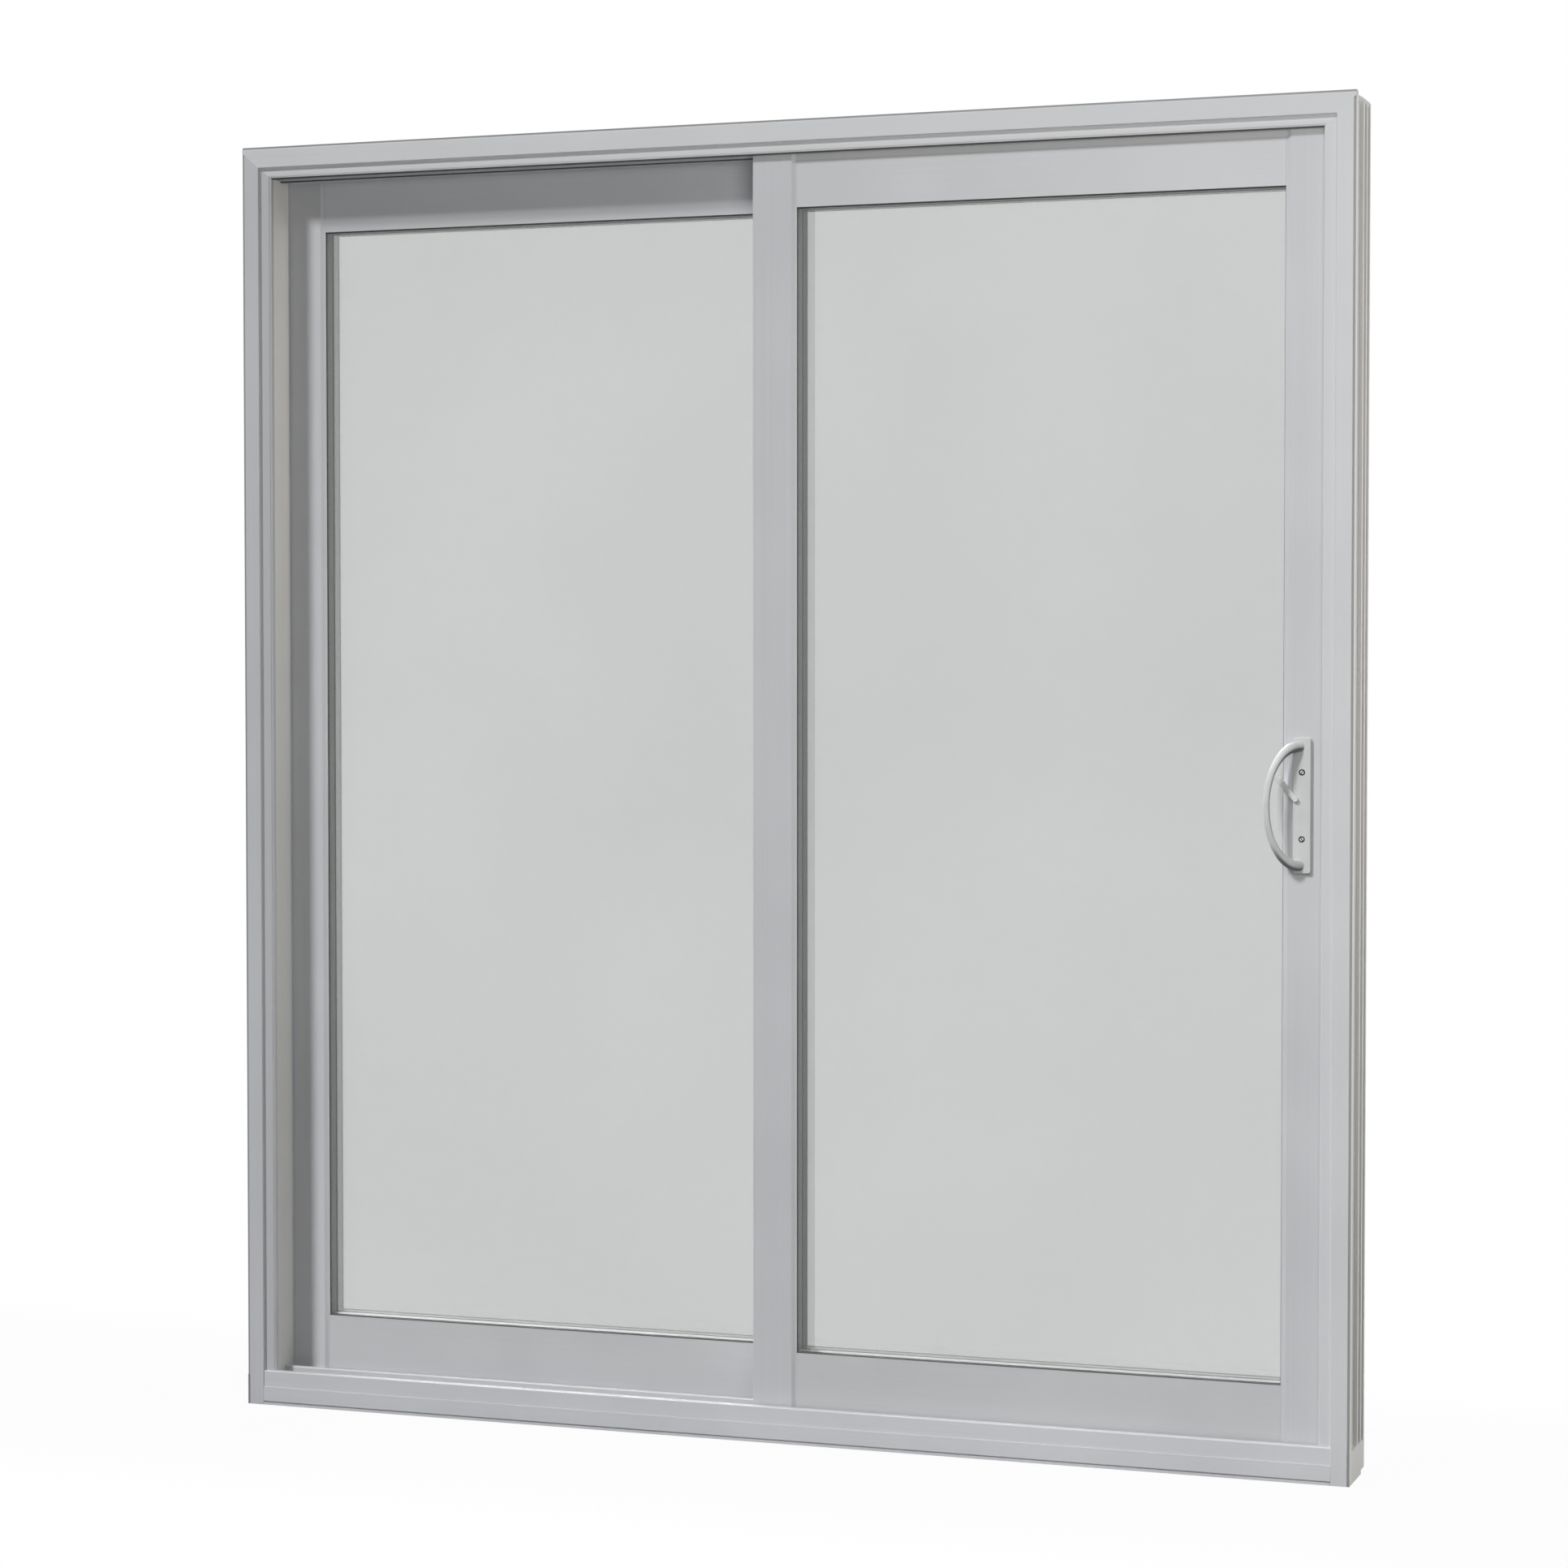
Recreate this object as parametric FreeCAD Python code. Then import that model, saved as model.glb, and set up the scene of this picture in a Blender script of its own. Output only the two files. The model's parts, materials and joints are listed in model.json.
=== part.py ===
import FreeCAD, Part
import math
import os

# Two-panel glass sliding patio door: a fixed panel, a sliding panel and the frame that holds them.
# Millimetres. The origin is the middle of the sill's flat underside, +X to the right as seen from
# the room, +Y towards the garden and +Z up. Depths are counted from the frame's room-side face.

V = FreeCAD.Vector
UP = V(0, 0, 1)

# Frame: overall size
frame_width = 1790.0
frame_height = 2019.0
frame_depth = 116.0

# Frame: section of the jambs and the head
jamb_flat = 28.0
jamb_lap = 48.0
head_flat = 33.0
head_lap = 50.5
edge_rebate_width = 3.0
edge_rebate_depth = 1.5
casing_step = 5.5
casing_cove_radius = 3.8
lip_front_depth = 7.5
lip_back_depth = 14.0
lip_nose_width = 4.0
lip_nose_setback = 0.8
lip_nose_radius = 3.5
head_base = 23.0
head_guide_drop = 53.0
rib_height = 6.0
rib_thickness = 6.0
front_flange_depth = 16.0
middle_rib_setback = 50.0
rear_rib_setback = 24.0
rear_wall = 7.0
casing_edge_radius = 1.2
casing_corner_radius = 8.0
rebate_stop_gap = 0.6

# Frame: sill section
sill_lip_height = 55.0
sill_face_crease = 29.0
sill_face_setback = 1.5
sill_groove_low = 3.8
sill_groove_high = 6.2
sill_groove_depth = 3.0
sill_channel_floor = 20.0
sill_divider_height = 52.0
sill_nose_length = 24.0
sill_nose_rise = 6.0
sill_end_height = 48.0
sill_edge_radius = 1.5
divider_thickness = 6.0

# Track, guide and jamb cover
track_thickness = 6.0
track_height = 59.0
track_crown_flat = 0.2
track_foot_width = 16.0
track_foot_thickness = 3.0
cover_wall = 3.0

# Panels
stile_width = 70.5
rail_height = 95.5
rail_setback = 3.0
nose_width = 2.0
bevel_width = 5.5
stile_edge_radius = 1.5
rail_edge_radius = 0.8
meeting_overlap = 71.0
sliding_side_gap = 7.5
fixed_side_gap = 11.5
sliding_front_gap = 5.0
sliding_rear_gap = 8.0
sill_lap = 11.0
head_engagement = 14.5
groove_width = 18.0
track_clear_above = 8.0
guide_clear_below = 10.0

# Glazing
glazing_lip = 2.0
gasket_thickness = 1.0
gasket_show = 0.8
gasket_bite = 10.0
pane_thickness = 3.0
pane_bite = 12.0
pocket_depth = 14.0
spacer_width = 8.0

# Interlock blades on the meeting stiles
interlock_wall = 2.5
interlock_flange = 15.0
interlock_flange_thickness = 2.0
interlock_reach = 9.0
interlock_end_gap = 8.0
interlock_gap = 11.5

# Rollers
roller_radius = 13.0
roller_thickness = 7.0
roller_groove_depth = 0.85
roller_groove_flat = 3.0
roller_running_gap = 0.3
roller_axle_radius = 3.0
roller_inset = 140.0
carriage_length = 96.0
carriage_height = 34.0
carriage_side_gap = 0.3
carriage_wheel_gap = 1.0
carriage_rim_gap = 2.0
carriage_track_gap = 5.5

# Handle set
handle_height = 988.7
handle_from_sightline = 29.2
plate_width = 26.8
plate_height = 198.0
plate_thickness = 6.0
plate_corner_radius = 4.0
plate_edge_bevel = 1.2
screw_spacing = 97.4
screw_seat_radius = 4.6
screw_seat_depth = 1.4
pull_half_height = 86.8
pull_sideways = 40.5
pull_outward = 36.0
pull_foot_inset = 9.0
pull_foot_half_width = 8.0
pull_foot_radius = 8.0
pull_foot_depth_radius = 8.0
pull_bar_radius = 4.4
pull_bar_depth_radius = 6.0
pull_flare_power = 4
pull_free_sections = 13

# Latch lever
lever_pivot_from_plate = 4.5
lever_pivot_above = 9.3
lever_angle = 49.0
lever_length = 41.0
lever_arm_width = 7.5
lever_end_radius = 3.2
lever_paddle_length = 12.0
lever_paddle_width = 9.5
lever_thickness = 6.0
lever_arm_thickness = 4.5
lever_corner_radius = 2.0
lever_step_radius = 1.0
lever_gap = 0.3
lever_spindle_radius = 2.5
lever_spindle_length = 4.5
lever_spindle_clearance = 0.05

# Lock furniture
faceplate_width = 20.0
faceplate_height = 150.0
faceplate_thickness = 2.0
keeper_width = 24.0
keeper_height = 110.0
keeper_thickness = 2.0
keeper_slot_width = 10.0
keeper_slot_height = 34.0

# Installation screws through the jambs
fixing_radius = 2.75
fixing_spacing = 1500.0

# How far a cutting shape runs past the face it cuts
cut_margin = 1.0

# Both panels share the depth that the lip, the divider, the gaps and the rear wall leave
layers_between = lip_back_depth + sliding_front_gap + sliding_rear_gap + divider_thickness + rear_wall
panel_thickness = (frame_depth - layers_between) / 2
pane_gap = panel_thickness - 2 * (rail_setback + glazing_lip + gasket_thickness + pane_thickness)

# Depth of each layer, from the room-side face to the garden
sliding_face = lip_back_depth + sliding_front_gap
sliding_back = sliding_face + panel_thickness
divider_front = sliding_back + sliding_rear_gap
fixed_face = divider_front + divider_thickness
fixed_back = fixed_face + panel_thickness
track_depth = sliding_face + panel_thickness / 2
middle_rib_depth = frame_depth - middle_rib_setback - rib_thickness
rear_rib_depth = frame_depth - rear_rib_setback - rib_thickness
sill_nose_depth = frame_depth - sill_nose_length

# Sideways places
half_width = frame_width / 2
pocket_x = half_width - jamb_flat
reveal_x = half_width - jamb_lap
panel_width = (2 * pocket_x - sliding_side_gap - fixed_side_gap + meeting_overlap) / 2
sliding_right = pocket_x - sliding_side_gap
sliding_left = sliding_right - panel_width
fixed_left = -(pocket_x - fixed_side_gap)
fixed_right = fixed_left + panel_width

# Heights
head_lip_z = frame_height - head_lap
panel_bottom = sill_lip_height - sill_lap
panel_top = head_lip_z + head_engagement
sight_bottom = panel_bottom + rail_height
sight_top = panel_top - rail_height
guide_bottom = frame_height - head_guide_drop


def depth_y(depth):
    """Y of a depth counted from the room-side face of the frame."""
    return depth - frame_depth / 2


def outline(points, place):
    """Closed wire through points (u, v) or (u, v, radius), with each radius as a tangent arc."""
    flat = [V(p[0], p[1], 0) for p in points]
    radii = [p[2] if len(p) > 2 else 0.0 for p in points]
    corners = []
    for i, corner in enumerate(flat):
        if radii[i] == 0.0:
            corners.append((corner, None, corner))
            continue
        before = (flat[i - 1] - corner).normalize()
        after = (flat[(i + 1) % len(flat)] - corner).normalize()
        half_angle = before.getAngle(after) / 2
        reach = radii[i] / math.tan(half_angle)
        inward = (before + after).normalize()
        middle = corner + inward * (radii[i] / math.sin(half_angle) - radii[i])
        corners.append((corner + before * reach, middle, corner + after * reach))
    edges = []
    for i, (start, middle, end) in enumerate(corners):
        if middle is not None:
            edges.append(Part.Arc(place(start), place(middle), place(end)).toShape())
        following = corners[(i + 1) % len(corners)][0]
        edges.append(Part.LineSegment(place(end), place(following)).toShape())
    return Part.Wire(edges)


def upright(points, low, high):
    """Prism along Z of a section given as (x, depth)."""
    wire = outline(points, lambda p: V(p.x, depth_y(p.y), low))
    return Part.Face(wire).extrude(V(0, 0, high - low))


def lengthwise(points, left, right):
    """Prism along X of a section given as (depth, z)."""
    wire = outline(points, lambda p: V(left, depth_y(p.x), p.y))
    return Part.Face(wire).extrude(V(right - left, 0, 0))


def crosswise(points, front, back):
    """Prism along the depth of an outline given as (x, z)."""
    wire = outline(points, lambda p: V(p.x, depth_y(front), p.y))
    return Part.Face(wire).extrude(V(0, back - front, 0))


def block(x_range, depth_range, z_range):
    """Box between two values along each axis."""
    corner = V(x_range[0], depth_y(depth_range[0]), z_range[0])
    return Part.makeBox(
        x_range[1] - x_range[0],
        depth_range[1] - depth_range[0],
        z_range[1] - z_range[0],
        corner,
    )


def round_bar(radius, start, direction, length):
    """Cylinder from a start point along a direction."""
    return Part.makeCylinder(radius, length, start, direction)


def mirrored(shape):
    """The shape's mirror image across the middle of the frame's width."""
    return shape.mirror(V(0, 0, 0), V(1, 0, 0))


def save(name, shape):
    """Write one piece as its own STEP file."""
    shape.exportStep("parts/" + name + ".step")


def casing_section(flat, lap, base, guide_drop):
    """Section of a jamb or the head as (distance from the outer edge, depth)."""
    radius = casing_edge_radius
    front = [
        (0, edge_rebate_depth),
        (edge_rebate_width, edge_rebate_depth),
        (edge_rebate_width, 0, radius),
        (flat, 0, radius),
        (flat, casing_step, casing_cove_radius),
        (lap - lip_nose_width, lip_front_depth - lip_nose_setback),
        (lap - lip_nose_width, lip_front_depth),
        (lap, lip_front_depth, lip_nose_radius),
        (lap, lip_back_depth),
        (base, lip_back_depth),
    ]
    guide = [
        (base, track_depth - track_thickness / 2),
        (guide_drop, track_depth - track_thickness / 2, radius),
        (guide_drop, track_depth + track_thickness / 2, radius),
        (base, track_depth + track_thickness / 2),
    ]
    rear = [
        (base, divider_front),
        (lap, divider_front, radius),
        (lap, fixed_face),
        (base, fixed_face),
        (base, fixed_back),
        (lap, fixed_back),
        (lap, frame_depth, radius),
        (0, frame_depth, radius),
    ]
    ribs = [(0, frame_depth - rib_thickness), (rib_height, frame_depth - rib_thickness)]
    for rib in (rear_rib_depth, middle_rib_depth):
        ribs.append((rib_height, rib + rib_thickness))
        ribs.append((0, rib + rib_thickness))
        ribs.append((0, rib))
        ribs.append((rib_height, rib))
    ribs.append((rib_height, front_flange_depth))
    ribs.append((0, front_flange_depth))
    return front + (guide if guide_drop else []) + rear + ribs


def mitre_z(x):
    """Height of the mitre line at a sideways place on the right."""
    slope = (head_lap - head_flat) / (jamb_lap - jamb_flat)
    return frame_height - head_flat + (x - pocket_x) * slope


def below_mitre():
    """Solid that holds everything under the right-hand mitre plane."""
    outer = half_width + frame_depth
    inner = half_width - frame_depth
    low = -cut_margin
    points = [(outer, mitre_z(outer)), (inner, mitre_z(inner)), (inner, low), (outer, low)]
    return crosswise(points, -cut_margin, frame_depth + cut_margin)


def corner_waste():
    """What comes off the top right corner behind the front flange, to leave it rounded."""
    radius = casing_corner_radius
    x = half_width - radius
    z = frame_height - radius
    end = frame_depth + cut_margin
    square = block((x, half_width + cut_margin), (front_flange_depth, end), (z, frame_height + cut_margin))
    start = V(x, depth_y(front_flange_depth), z)
    return square.cut(round_bar(radius, start, V(0, 1, 0), end - front_flange_depth))


def right_jamb_blank():
    """Right jamb: casing section cut to the mitre above and scribed over the sill below."""
    section = casing_section(jamb_flat, jamb_lap, jamb_flat, 0)
    shape = upright([(half_width - p[0], *p[1:]) for p in section], 0, frame_height)
    shape = shape.common(below_mitre()).cut(corner_waste())
    low = -cut_margin
    end = frame_depth + cut_margin
    over_end = block((pocket_x, half_width + cut_margin), (front_flange_depth, end), (low, sill_end_height))
    over_lip = block((0, pocket_x), (-cut_margin, lip_back_depth), (low, sill_lip_height))
    over_sill = block((0, pocket_x), (lip_back_depth, end), (low, sill_divider_height))
    shape = shape.cut(over_end.fuse([over_lip, over_sill]).removeSplitter())
    stop_x = half_width - edge_rebate_width + rebate_stop_gap
    rebate_stop = block((stop_x, half_width), (0, edge_rebate_depth), (0, sill_end_height))
    shape = shape.fuse(rebate_stop).removeSplitter()
    for z in fixing_heights():
        start = V(pocket_x - cut_margin, depth_y(track_depth), z)
        shape = shape.cut(round_bar(fixing_radius, start, V(1, 0, 0), jamb_flat + 2 * cut_margin))
    return shape


def fixing_heights():
    """Heights of the installation screws in each jamb."""
    middle = frame_height / 2
    return (middle - fixing_spacing / 2, middle + fixing_spacing / 2)


def make_frame():
    """Jambs, head, sill, sill ends, track and the cover strip beside the fixed panel."""
    jamb = right_jamb_blank()
    save("right_jamb", jamb)
    save("left_jamb", mirrored(jamb))

    section = casing_section(head_flat, head_lap, head_base, head_guide_drop)
    head = lengthwise([(p[1], frame_height - p[0], *p[2:]) for p in section], -half_width, half_width)
    for waste in (below_mitre(), corner_waste()):
        head = head.cut(waste).cut(mirrored(waste))
    save("head_jamb", head)

    radius = sill_edge_radius
    sill_section = [
        (0, 0),
        (0, sill_groove_low),
        (sill_groove_depth, sill_groove_low),
        (sill_groove_depth, sill_groove_high),
        (0, sill_groove_high),
        (0, sill_face_crease),
        (sill_face_setback, sill_face_crease),
        (sill_face_setback, sill_lip_height, radius),
        (lip_back_depth, sill_lip_height, radius),
        (lip_back_depth, sill_channel_floor),
        (divider_front, sill_channel_floor),
        (divider_front, sill_divider_height, radius),
        (fixed_face, sill_divider_height),
        (fixed_face, panel_bottom),
        (fixed_back, panel_bottom),
        (fixed_back, sill_divider_height),
        (frame_depth, sill_divider_height, radius),
        (frame_depth, sill_nose_rise, radius),
        (sill_nose_depth, sill_nose_rise),
        (sill_nose_depth, 0),
    ]
    save("sill", lengthwise(sill_section, -pocket_x, pocket_x))

    end_section = [
        (front_flange_depth, 0),
        (front_flange_depth, sill_end_height),
        (frame_depth, sill_end_height),
        (frame_depth, sill_nose_rise, radius),
        (sill_nose_depth, sill_nose_rise),
        (sill_nose_depth, 0),
    ]
    sill_end = lengthwise(end_section, pocket_x, half_width)
    save("right_sill_end", sill_end)
    save("left_sill_end", mirrored(sill_end))

    foot_top = sill_channel_floor + track_foot_thickness
    crown = (track_thickness - track_crown_flat) / 2
    track_section = [
        (track_depth - track_foot_width / 2, sill_channel_floor),
        (track_depth - track_foot_width / 2, foot_top),
        (track_depth - track_thickness / 2, foot_top),
        (track_depth - track_thickness / 2, track_height, crown),
        (track_depth + track_thickness / 2, track_height, crown),
        (track_depth + track_thickness / 2, foot_top),
        (track_depth + track_foot_width / 2, foot_top),
        (track_depth + track_foot_width / 2, sill_channel_floor),
    ]
    save("sill_track", lengthwise(track_section, -reveal_x, pocket_x))

    cover_section = [
        (-pocket_x, lip_back_depth),
        (-reveal_x, lip_back_depth),
        (-reveal_x, divider_front),
        (-pocket_x, divider_front),
        (-pocket_x, divider_front - cover_wall),
        (-reveal_x - cover_wall, divider_front - cover_wall),
        (-reveal_x - cover_wall, lip_back_depth + cover_wall),
        (-pocket_x, lip_back_depth + cover_wall),
    ]
    cover = upright(cover_section, sill_channel_floor, frame_height)
    save("left_jamb_cover", cover.common(mirrored(below_mitre())))


def stile(sight_x, side, face, grooved):
    """Upright panel member. side is +1 where the stile lies to the right of the glass."""
    back = face + panel_thickness
    nose = face + rail_setback
    rear_nose = back - rail_setback
    bevel_end = nose_width + bevel_width
    outer = sight_x + side * stile_width
    section = [
        (sight_x, nose, rail_edge_radius),
        (sight_x + side * nose_width, nose),
        (sight_x + side * bevel_end, face, stile_edge_radius),
        (outer, face, stile_edge_radius),
        (outer, back, stile_edge_radius),
        (sight_x + side * bevel_end, back, stile_edge_radius),
        (sight_x + side * nose_width, rear_nose),
        (sight_x, rear_nose, rail_edge_radius),
    ]
    shape = upright(section, panel_bottom, panel_top)
    pocket = block(
        sorted((sight_x - side * cut_margin, sight_x + side * pocket_depth)),
        (nose + glazing_lip, rear_nose - glazing_lip),
        (sight_bottom - pocket_depth, sight_top + pocket_depth),
    )
    shape = shape.cut(pocket)
    if grooved:
        across = sorted((sight_x - side * cut_margin, outer + side * cut_margin))
        low, high = track_grooves(across, track_height + track_clear_above)
        shape = shape.cut(low).cut(high)
    return shape


def track_grooves(x_range, low_groove_top):
    """Grooves along the bottom and top of the sliding panel, round the track and the head guide."""
    depths = (track_depth - groove_width / 2, track_depth + groove_width / 2)
    low = block(x_range, depths, (panel_bottom - cut_margin, low_groove_top))
    high = block(x_range, depths, (guide_bottom - guide_clear_below, panel_top + cut_margin))
    return low, high


def rail(left_sight, right_sight, face, top):
    """Horizontal panel member between the stiles, as a section swept along the panel's width."""
    near = face + rail_setback
    far = face + panel_thickness - rail_setback
    sight = sight_top if top else sight_bottom
    outer = panel_top if top else panel_bottom
    seat = sight + (pocket_depth if top else -pocket_depth)
    section = [
        (near, outer),
        (near, sight, rail_edge_radius),
        (near + glazing_lip, sight),
        (near + glazing_lip, seat),
        (far - glazing_lip, seat),
        (far - glazing_lip, sight),
        (far, sight, rail_edge_radius),
        (far, outer),
    ]
    return lengthwise(section, left_sight, right_sight)


def ring(outer_grow, inner_grow, left_sight, right_sight, depths):
    """Flat frame round the glass, its edges set outwards from the sightline by the two amounts."""
    def plate(grow, depth_range):
        return block(
            (left_sight - grow, right_sight + grow),
            depth_range,
            (sight_bottom - grow, sight_top + grow),
        )
    through = (depths[0] - cut_margin, depths[1] + cut_margin)
    return plate(outer_grow, depths).cut(plate(inner_grow, through))


def make_panel(name, left, face, grooved):
    """Stiles, rails and double glazing of one panel."""
    left_sight = left + stile_width
    right_sight = left + panel_width - stile_width
    left_name = "_meeting_stile" if grooved else "_jamb_stile"
    right_name = "_lock_stile" if grooved else "_meeting_stile"
    save(name + left_name, stile(left_sight, -1, face, grooved))
    right_stile = stile(right_sight, 1, face, grooved)
    if grooved:
        right_stile = right_stile.cut(faceplate())
    save(name + right_name, right_stile)

    top_rail = rail(left_sight, right_sight, face, True)
    bottom_rail = rail(left_sight, right_sight, face, False)
    if grooved:
        low, high = track_grooves((left_sight - cut_margin, right_sight + cut_margin), carriage_top())
        top_rail = top_rail.cut(high)
        bottom_rail = bottom_rail.cut(low)
    save(name + "_top_rail", top_rail)
    save(name + "_bottom_rail", bottom_rail)

    seat = face + rail_setback + glazing_lip
    inner = seat + gasket_thickness
    cavity = inner + pane_thickness
    outer = cavity + pane_gap
    end = outer + pane_thickness
    glass_x = (left_sight - pane_bite, right_sight + pane_bite)
    glass_z = (sight_bottom - pane_bite, sight_top + pane_bite)
    save(name + "_inner_glass", block(glass_x, (inner, cavity), glass_z))
    save(name + "_outer_glass", block(glass_x, (outer, end), glass_z))
    save(name + "_spacer", ring(spacer_width, 0.0, left_sight, right_sight, (cavity, outer)))
    inner_gasket = ring(gasket_bite, -gasket_show, left_sight, right_sight, (seat, inner))
    outer_gasket = ring(gasket_bite, -gasket_show, left_sight, right_sight, (end, end + gasket_thickness))
    save(name + "_inner_gasket", inner_gasket)
    save(name + "_outer_gasket", outer_gasket)


def make_interlocks():
    """Blades that overlap between the two meeting stiles when the door is shut."""
    low = sill_divider_height + interlock_end_gap
    high = head_lip_z - interlock_end_gap
    sliding = [
        (sliding_left, sliding_back),
        (sliding_left + interlock_flange, sliding_back),
        (sliding_left + interlock_flange, sliding_back + interlock_flange_thickness),
        (sliding_left + interlock_wall, sliding_back + interlock_flange_thickness),
        (sliding_left + interlock_wall, sliding_back + interlock_reach),
        (sliding_left, sliding_back + interlock_reach),
    ]
    save("sliding_interlock", upright(sliding, low, high))
    blade = sliding_left + interlock_flange + interlock_gap
    fixed = [
        (blade, fixed_face),
        (blade, fixed_face - interlock_reach),
        (blade + interlock_wall, fixed_face - interlock_reach),
        (blade + interlock_wall, fixed_face - interlock_flange_thickness),
        (blade + interlock_flange, fixed_face - interlock_flange_thickness),
        (blade + interlock_flange, fixed_face),
    ]
    save("fixed_interlock", upright(fixed, low, high))


def carriage_top():
    """Height of the top of the roller carriages, where the bottom rail rests on them."""
    return track_height + carriage_track_gap + carriage_height


def roller_wheel(x, axle_z, half_axle):
    """Wheel with a flat-bottomed groove and its axle, turned about the axle's line."""
    half_wheel = roller_thickness / 2
    half_groove = roller_groove_flat / 2
    groove_radius = roller_radius - roller_groove_depth
    profile = [
        (0, -half_axle),
        (roller_axle_radius, -half_axle),
        (roller_axle_radius, -half_wheel),
        (roller_radius, -half_wheel),
        (groove_radius, -half_groove),
        (groove_radius, half_groove),
        (roller_radius, half_wheel),
        (roller_axle_radius, half_wheel),
        (roller_axle_radius, half_axle),
        (0, half_axle),
    ]
    wire = outline(profile, lambda p: V(x + p.x, depth_y(track_depth) + p.y, axle_z))
    return Part.Face(wire).revolve(V(x, 0, axle_z), V(0, 1, 0), 360)


def make_rollers():
    """Two roller carriages in the sliding panel's bottom rail, each with its grooved wheel."""
    axle_z = track_height + roller_running_gap + roller_radius - roller_groove_depth
    left_sight = sliding_left + stile_width
    right_sight = sliding_right - stile_width
    half_depth = groove_width / 2 - carriage_side_gap
    wheel_half = roller_thickness / 2 + carriage_wheel_gap
    rim = roller_radius + carriage_rim_gap
    low = track_height + carriage_track_gap
    carriages = []
    wheels = []
    for x in (left_sight + roller_inset, right_sight - roller_inset):
        body = block(
            (x - carriage_length / 2, x + carriage_length / 2),
            (track_depth - half_depth, track_depth + half_depth),
            (low, carriage_top()),
        )
        window = block(
            (x - rim, x + rim),
            (track_depth - wheel_half, track_depth + wheel_half),
            (low - cut_margin, axle_z + rim),
        )
        axle_start = V(x, depth_y(track_depth - half_depth), axle_z)
        axle = round_bar(roller_axle_radius, axle_start, V(0, 1, 0), 2 * half_depth)
        carriages.append(body.cut(window).cut(axle))
        wheels.append(roller_wheel(x, axle_z, half_depth))
    save("roller_carriages", Part.makeCompound(carriages))
    save("roller_wheels", Part.makeCompound(wheels))


def handle_x():
    """Sideways middle of the handle plates."""
    return sliding_right - stile_width + handle_from_sightline


def handle_plate(screwed):
    """Room-side handle plate with rounded corners, bevelled front edges and screw seats."""
    left = handle_x() - plate_width / 2
    right = handle_x() + plate_width / 2
    low = handle_height - plate_height / 2
    high = handle_height + plate_height / 2
    radius = plate_corner_radius
    points = [(left, low, radius), (right, low, radius), (right, high, radius), (left, high, radius)]
    front = sliding_face - plate_thickness
    shape = crosswise(points, front, sliding_face)
    front_y = depth_y(front)
    rim = [e for e in shape.Edges if abs(e.BoundBox.YMax - front_y) < 1e-4]
    shape = shape.makeChamfer(plate_edge_bevel, rim)
    if screwed:
        for side in (-1, 1):
            seat_z = handle_height + side * screw_spacing / 2
            start = V(handle_x(), front_y - cut_margin, seat_z)
            seat = round_bar(screw_seat_radius, start, V(0, 1, 0), screw_seat_depth + cut_margin)
            shape = shape.cut(seat)
        pivot = lever_pivot()
        start = V(pivot.x, front_y - cut_margin, pivot.z)
        bore_radius = lever_spindle_radius + lever_spindle_clearance
        shape = shape.cut(round_bar(bore_radius, start, V(0, 1, 0), plate_thickness + 2 * cut_margin))
    return shape


def oval(centre, first, second):
    """Ellipse through centre + first and centre + second, two half sizes that stand square."""
    normal = first.cross(second).normalize()
    stretch = FreeCAD.Matrix(
        first.x, second.x, normal.x, centre.x,
        first.y, second.y, normal.y, centre.y,
        first.z, second.z, normal.z, centre.z,
    )
    unit_circle = Part.Circle(V(0, 0, 0), UP, 1.0)
    return Part.Wire(unit_circle.toShape().transformGeometry(stretch))


def handle_pull():
    """Room-side pull: a bar bowed along half an ellipse that leans away from the plate.

    It is lofted through ovals that stand square to the bow and swell towards its ends, and from
    the last of them down to the two feet that lie flat on the plate.
    """
    plate_front = depth_y(sliding_face - plate_thickness)
    foot_x = handle_x() - plate_width / 2 + pull_foot_inset
    middle = V(foot_x, plate_front, handle_height)
    lean = V(-pull_sideways, -pull_outward, 0)
    rise = lean.Length
    lean.normalize()
    across = lean.cross(UP).normalize()
    last_angle = math.acos(pull_foot_depth_radius * pull_sideways / rise / pull_outward)
    ovals = [oval(middle - UP * pull_half_height, V(-pull_foot_half_width, 0, 0), UP * -pull_foot_radius)]
    for i in range(pull_free_sections):
        angle = last_angle * (2 * i / (pull_free_sections - 1) - 1)
        centre = middle + lean * (rise * math.cos(angle)) + UP * (pull_half_height * math.sin(angle))
        tangent = UP * (pull_half_height * math.cos(angle)) - lean * (rise * math.sin(angle))
        inward = tangent.cross(across).normalize()
        flare = math.sin(angle) ** pull_flare_power
        thin = pull_bar_radius + (pull_foot_radius - pull_bar_radius) * flare
        deep = pull_bar_depth_radius + (pull_foot_depth_radius - pull_bar_depth_radius) * flare
        ovals.append(oval(centre, across * deep, inward * thin))
    ovals.append(oval(middle + UP * pull_half_height, V(-pull_foot_half_width, 0, 0), UP * pull_foot_radius))
    return Part.makeLoft(ovals, True, True)


def to_garden_side(shape):
    """Mirror a room-side piece through the middle of the sliding panel's thickness."""
    return shape.mirror(V(0, depth_y(track_depth), 0), V(0, 1, 0))


def lever_pivot():
    """Pivot of the latch lever on the front of the room-side plate."""
    x = handle_x() - plate_width / 2 + lever_pivot_from_plate
    return V(x, depth_y(sliding_face - plate_thickness), handle_height + lever_pivot_above)


def make_handle():
    """Plates, pulls and the thumb lever that turns the latch."""
    plate = handle_plate(True)
    pull = handle_pull()
    save("inner_handle_plate", plate)
    save("inner_pull", pull)
    save("outer_handle_plate", to_garden_side(handle_plate(False)))
    save("outer_pull", to_garden_side(pull))

    save("latch_lever", latch_lever())


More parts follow.
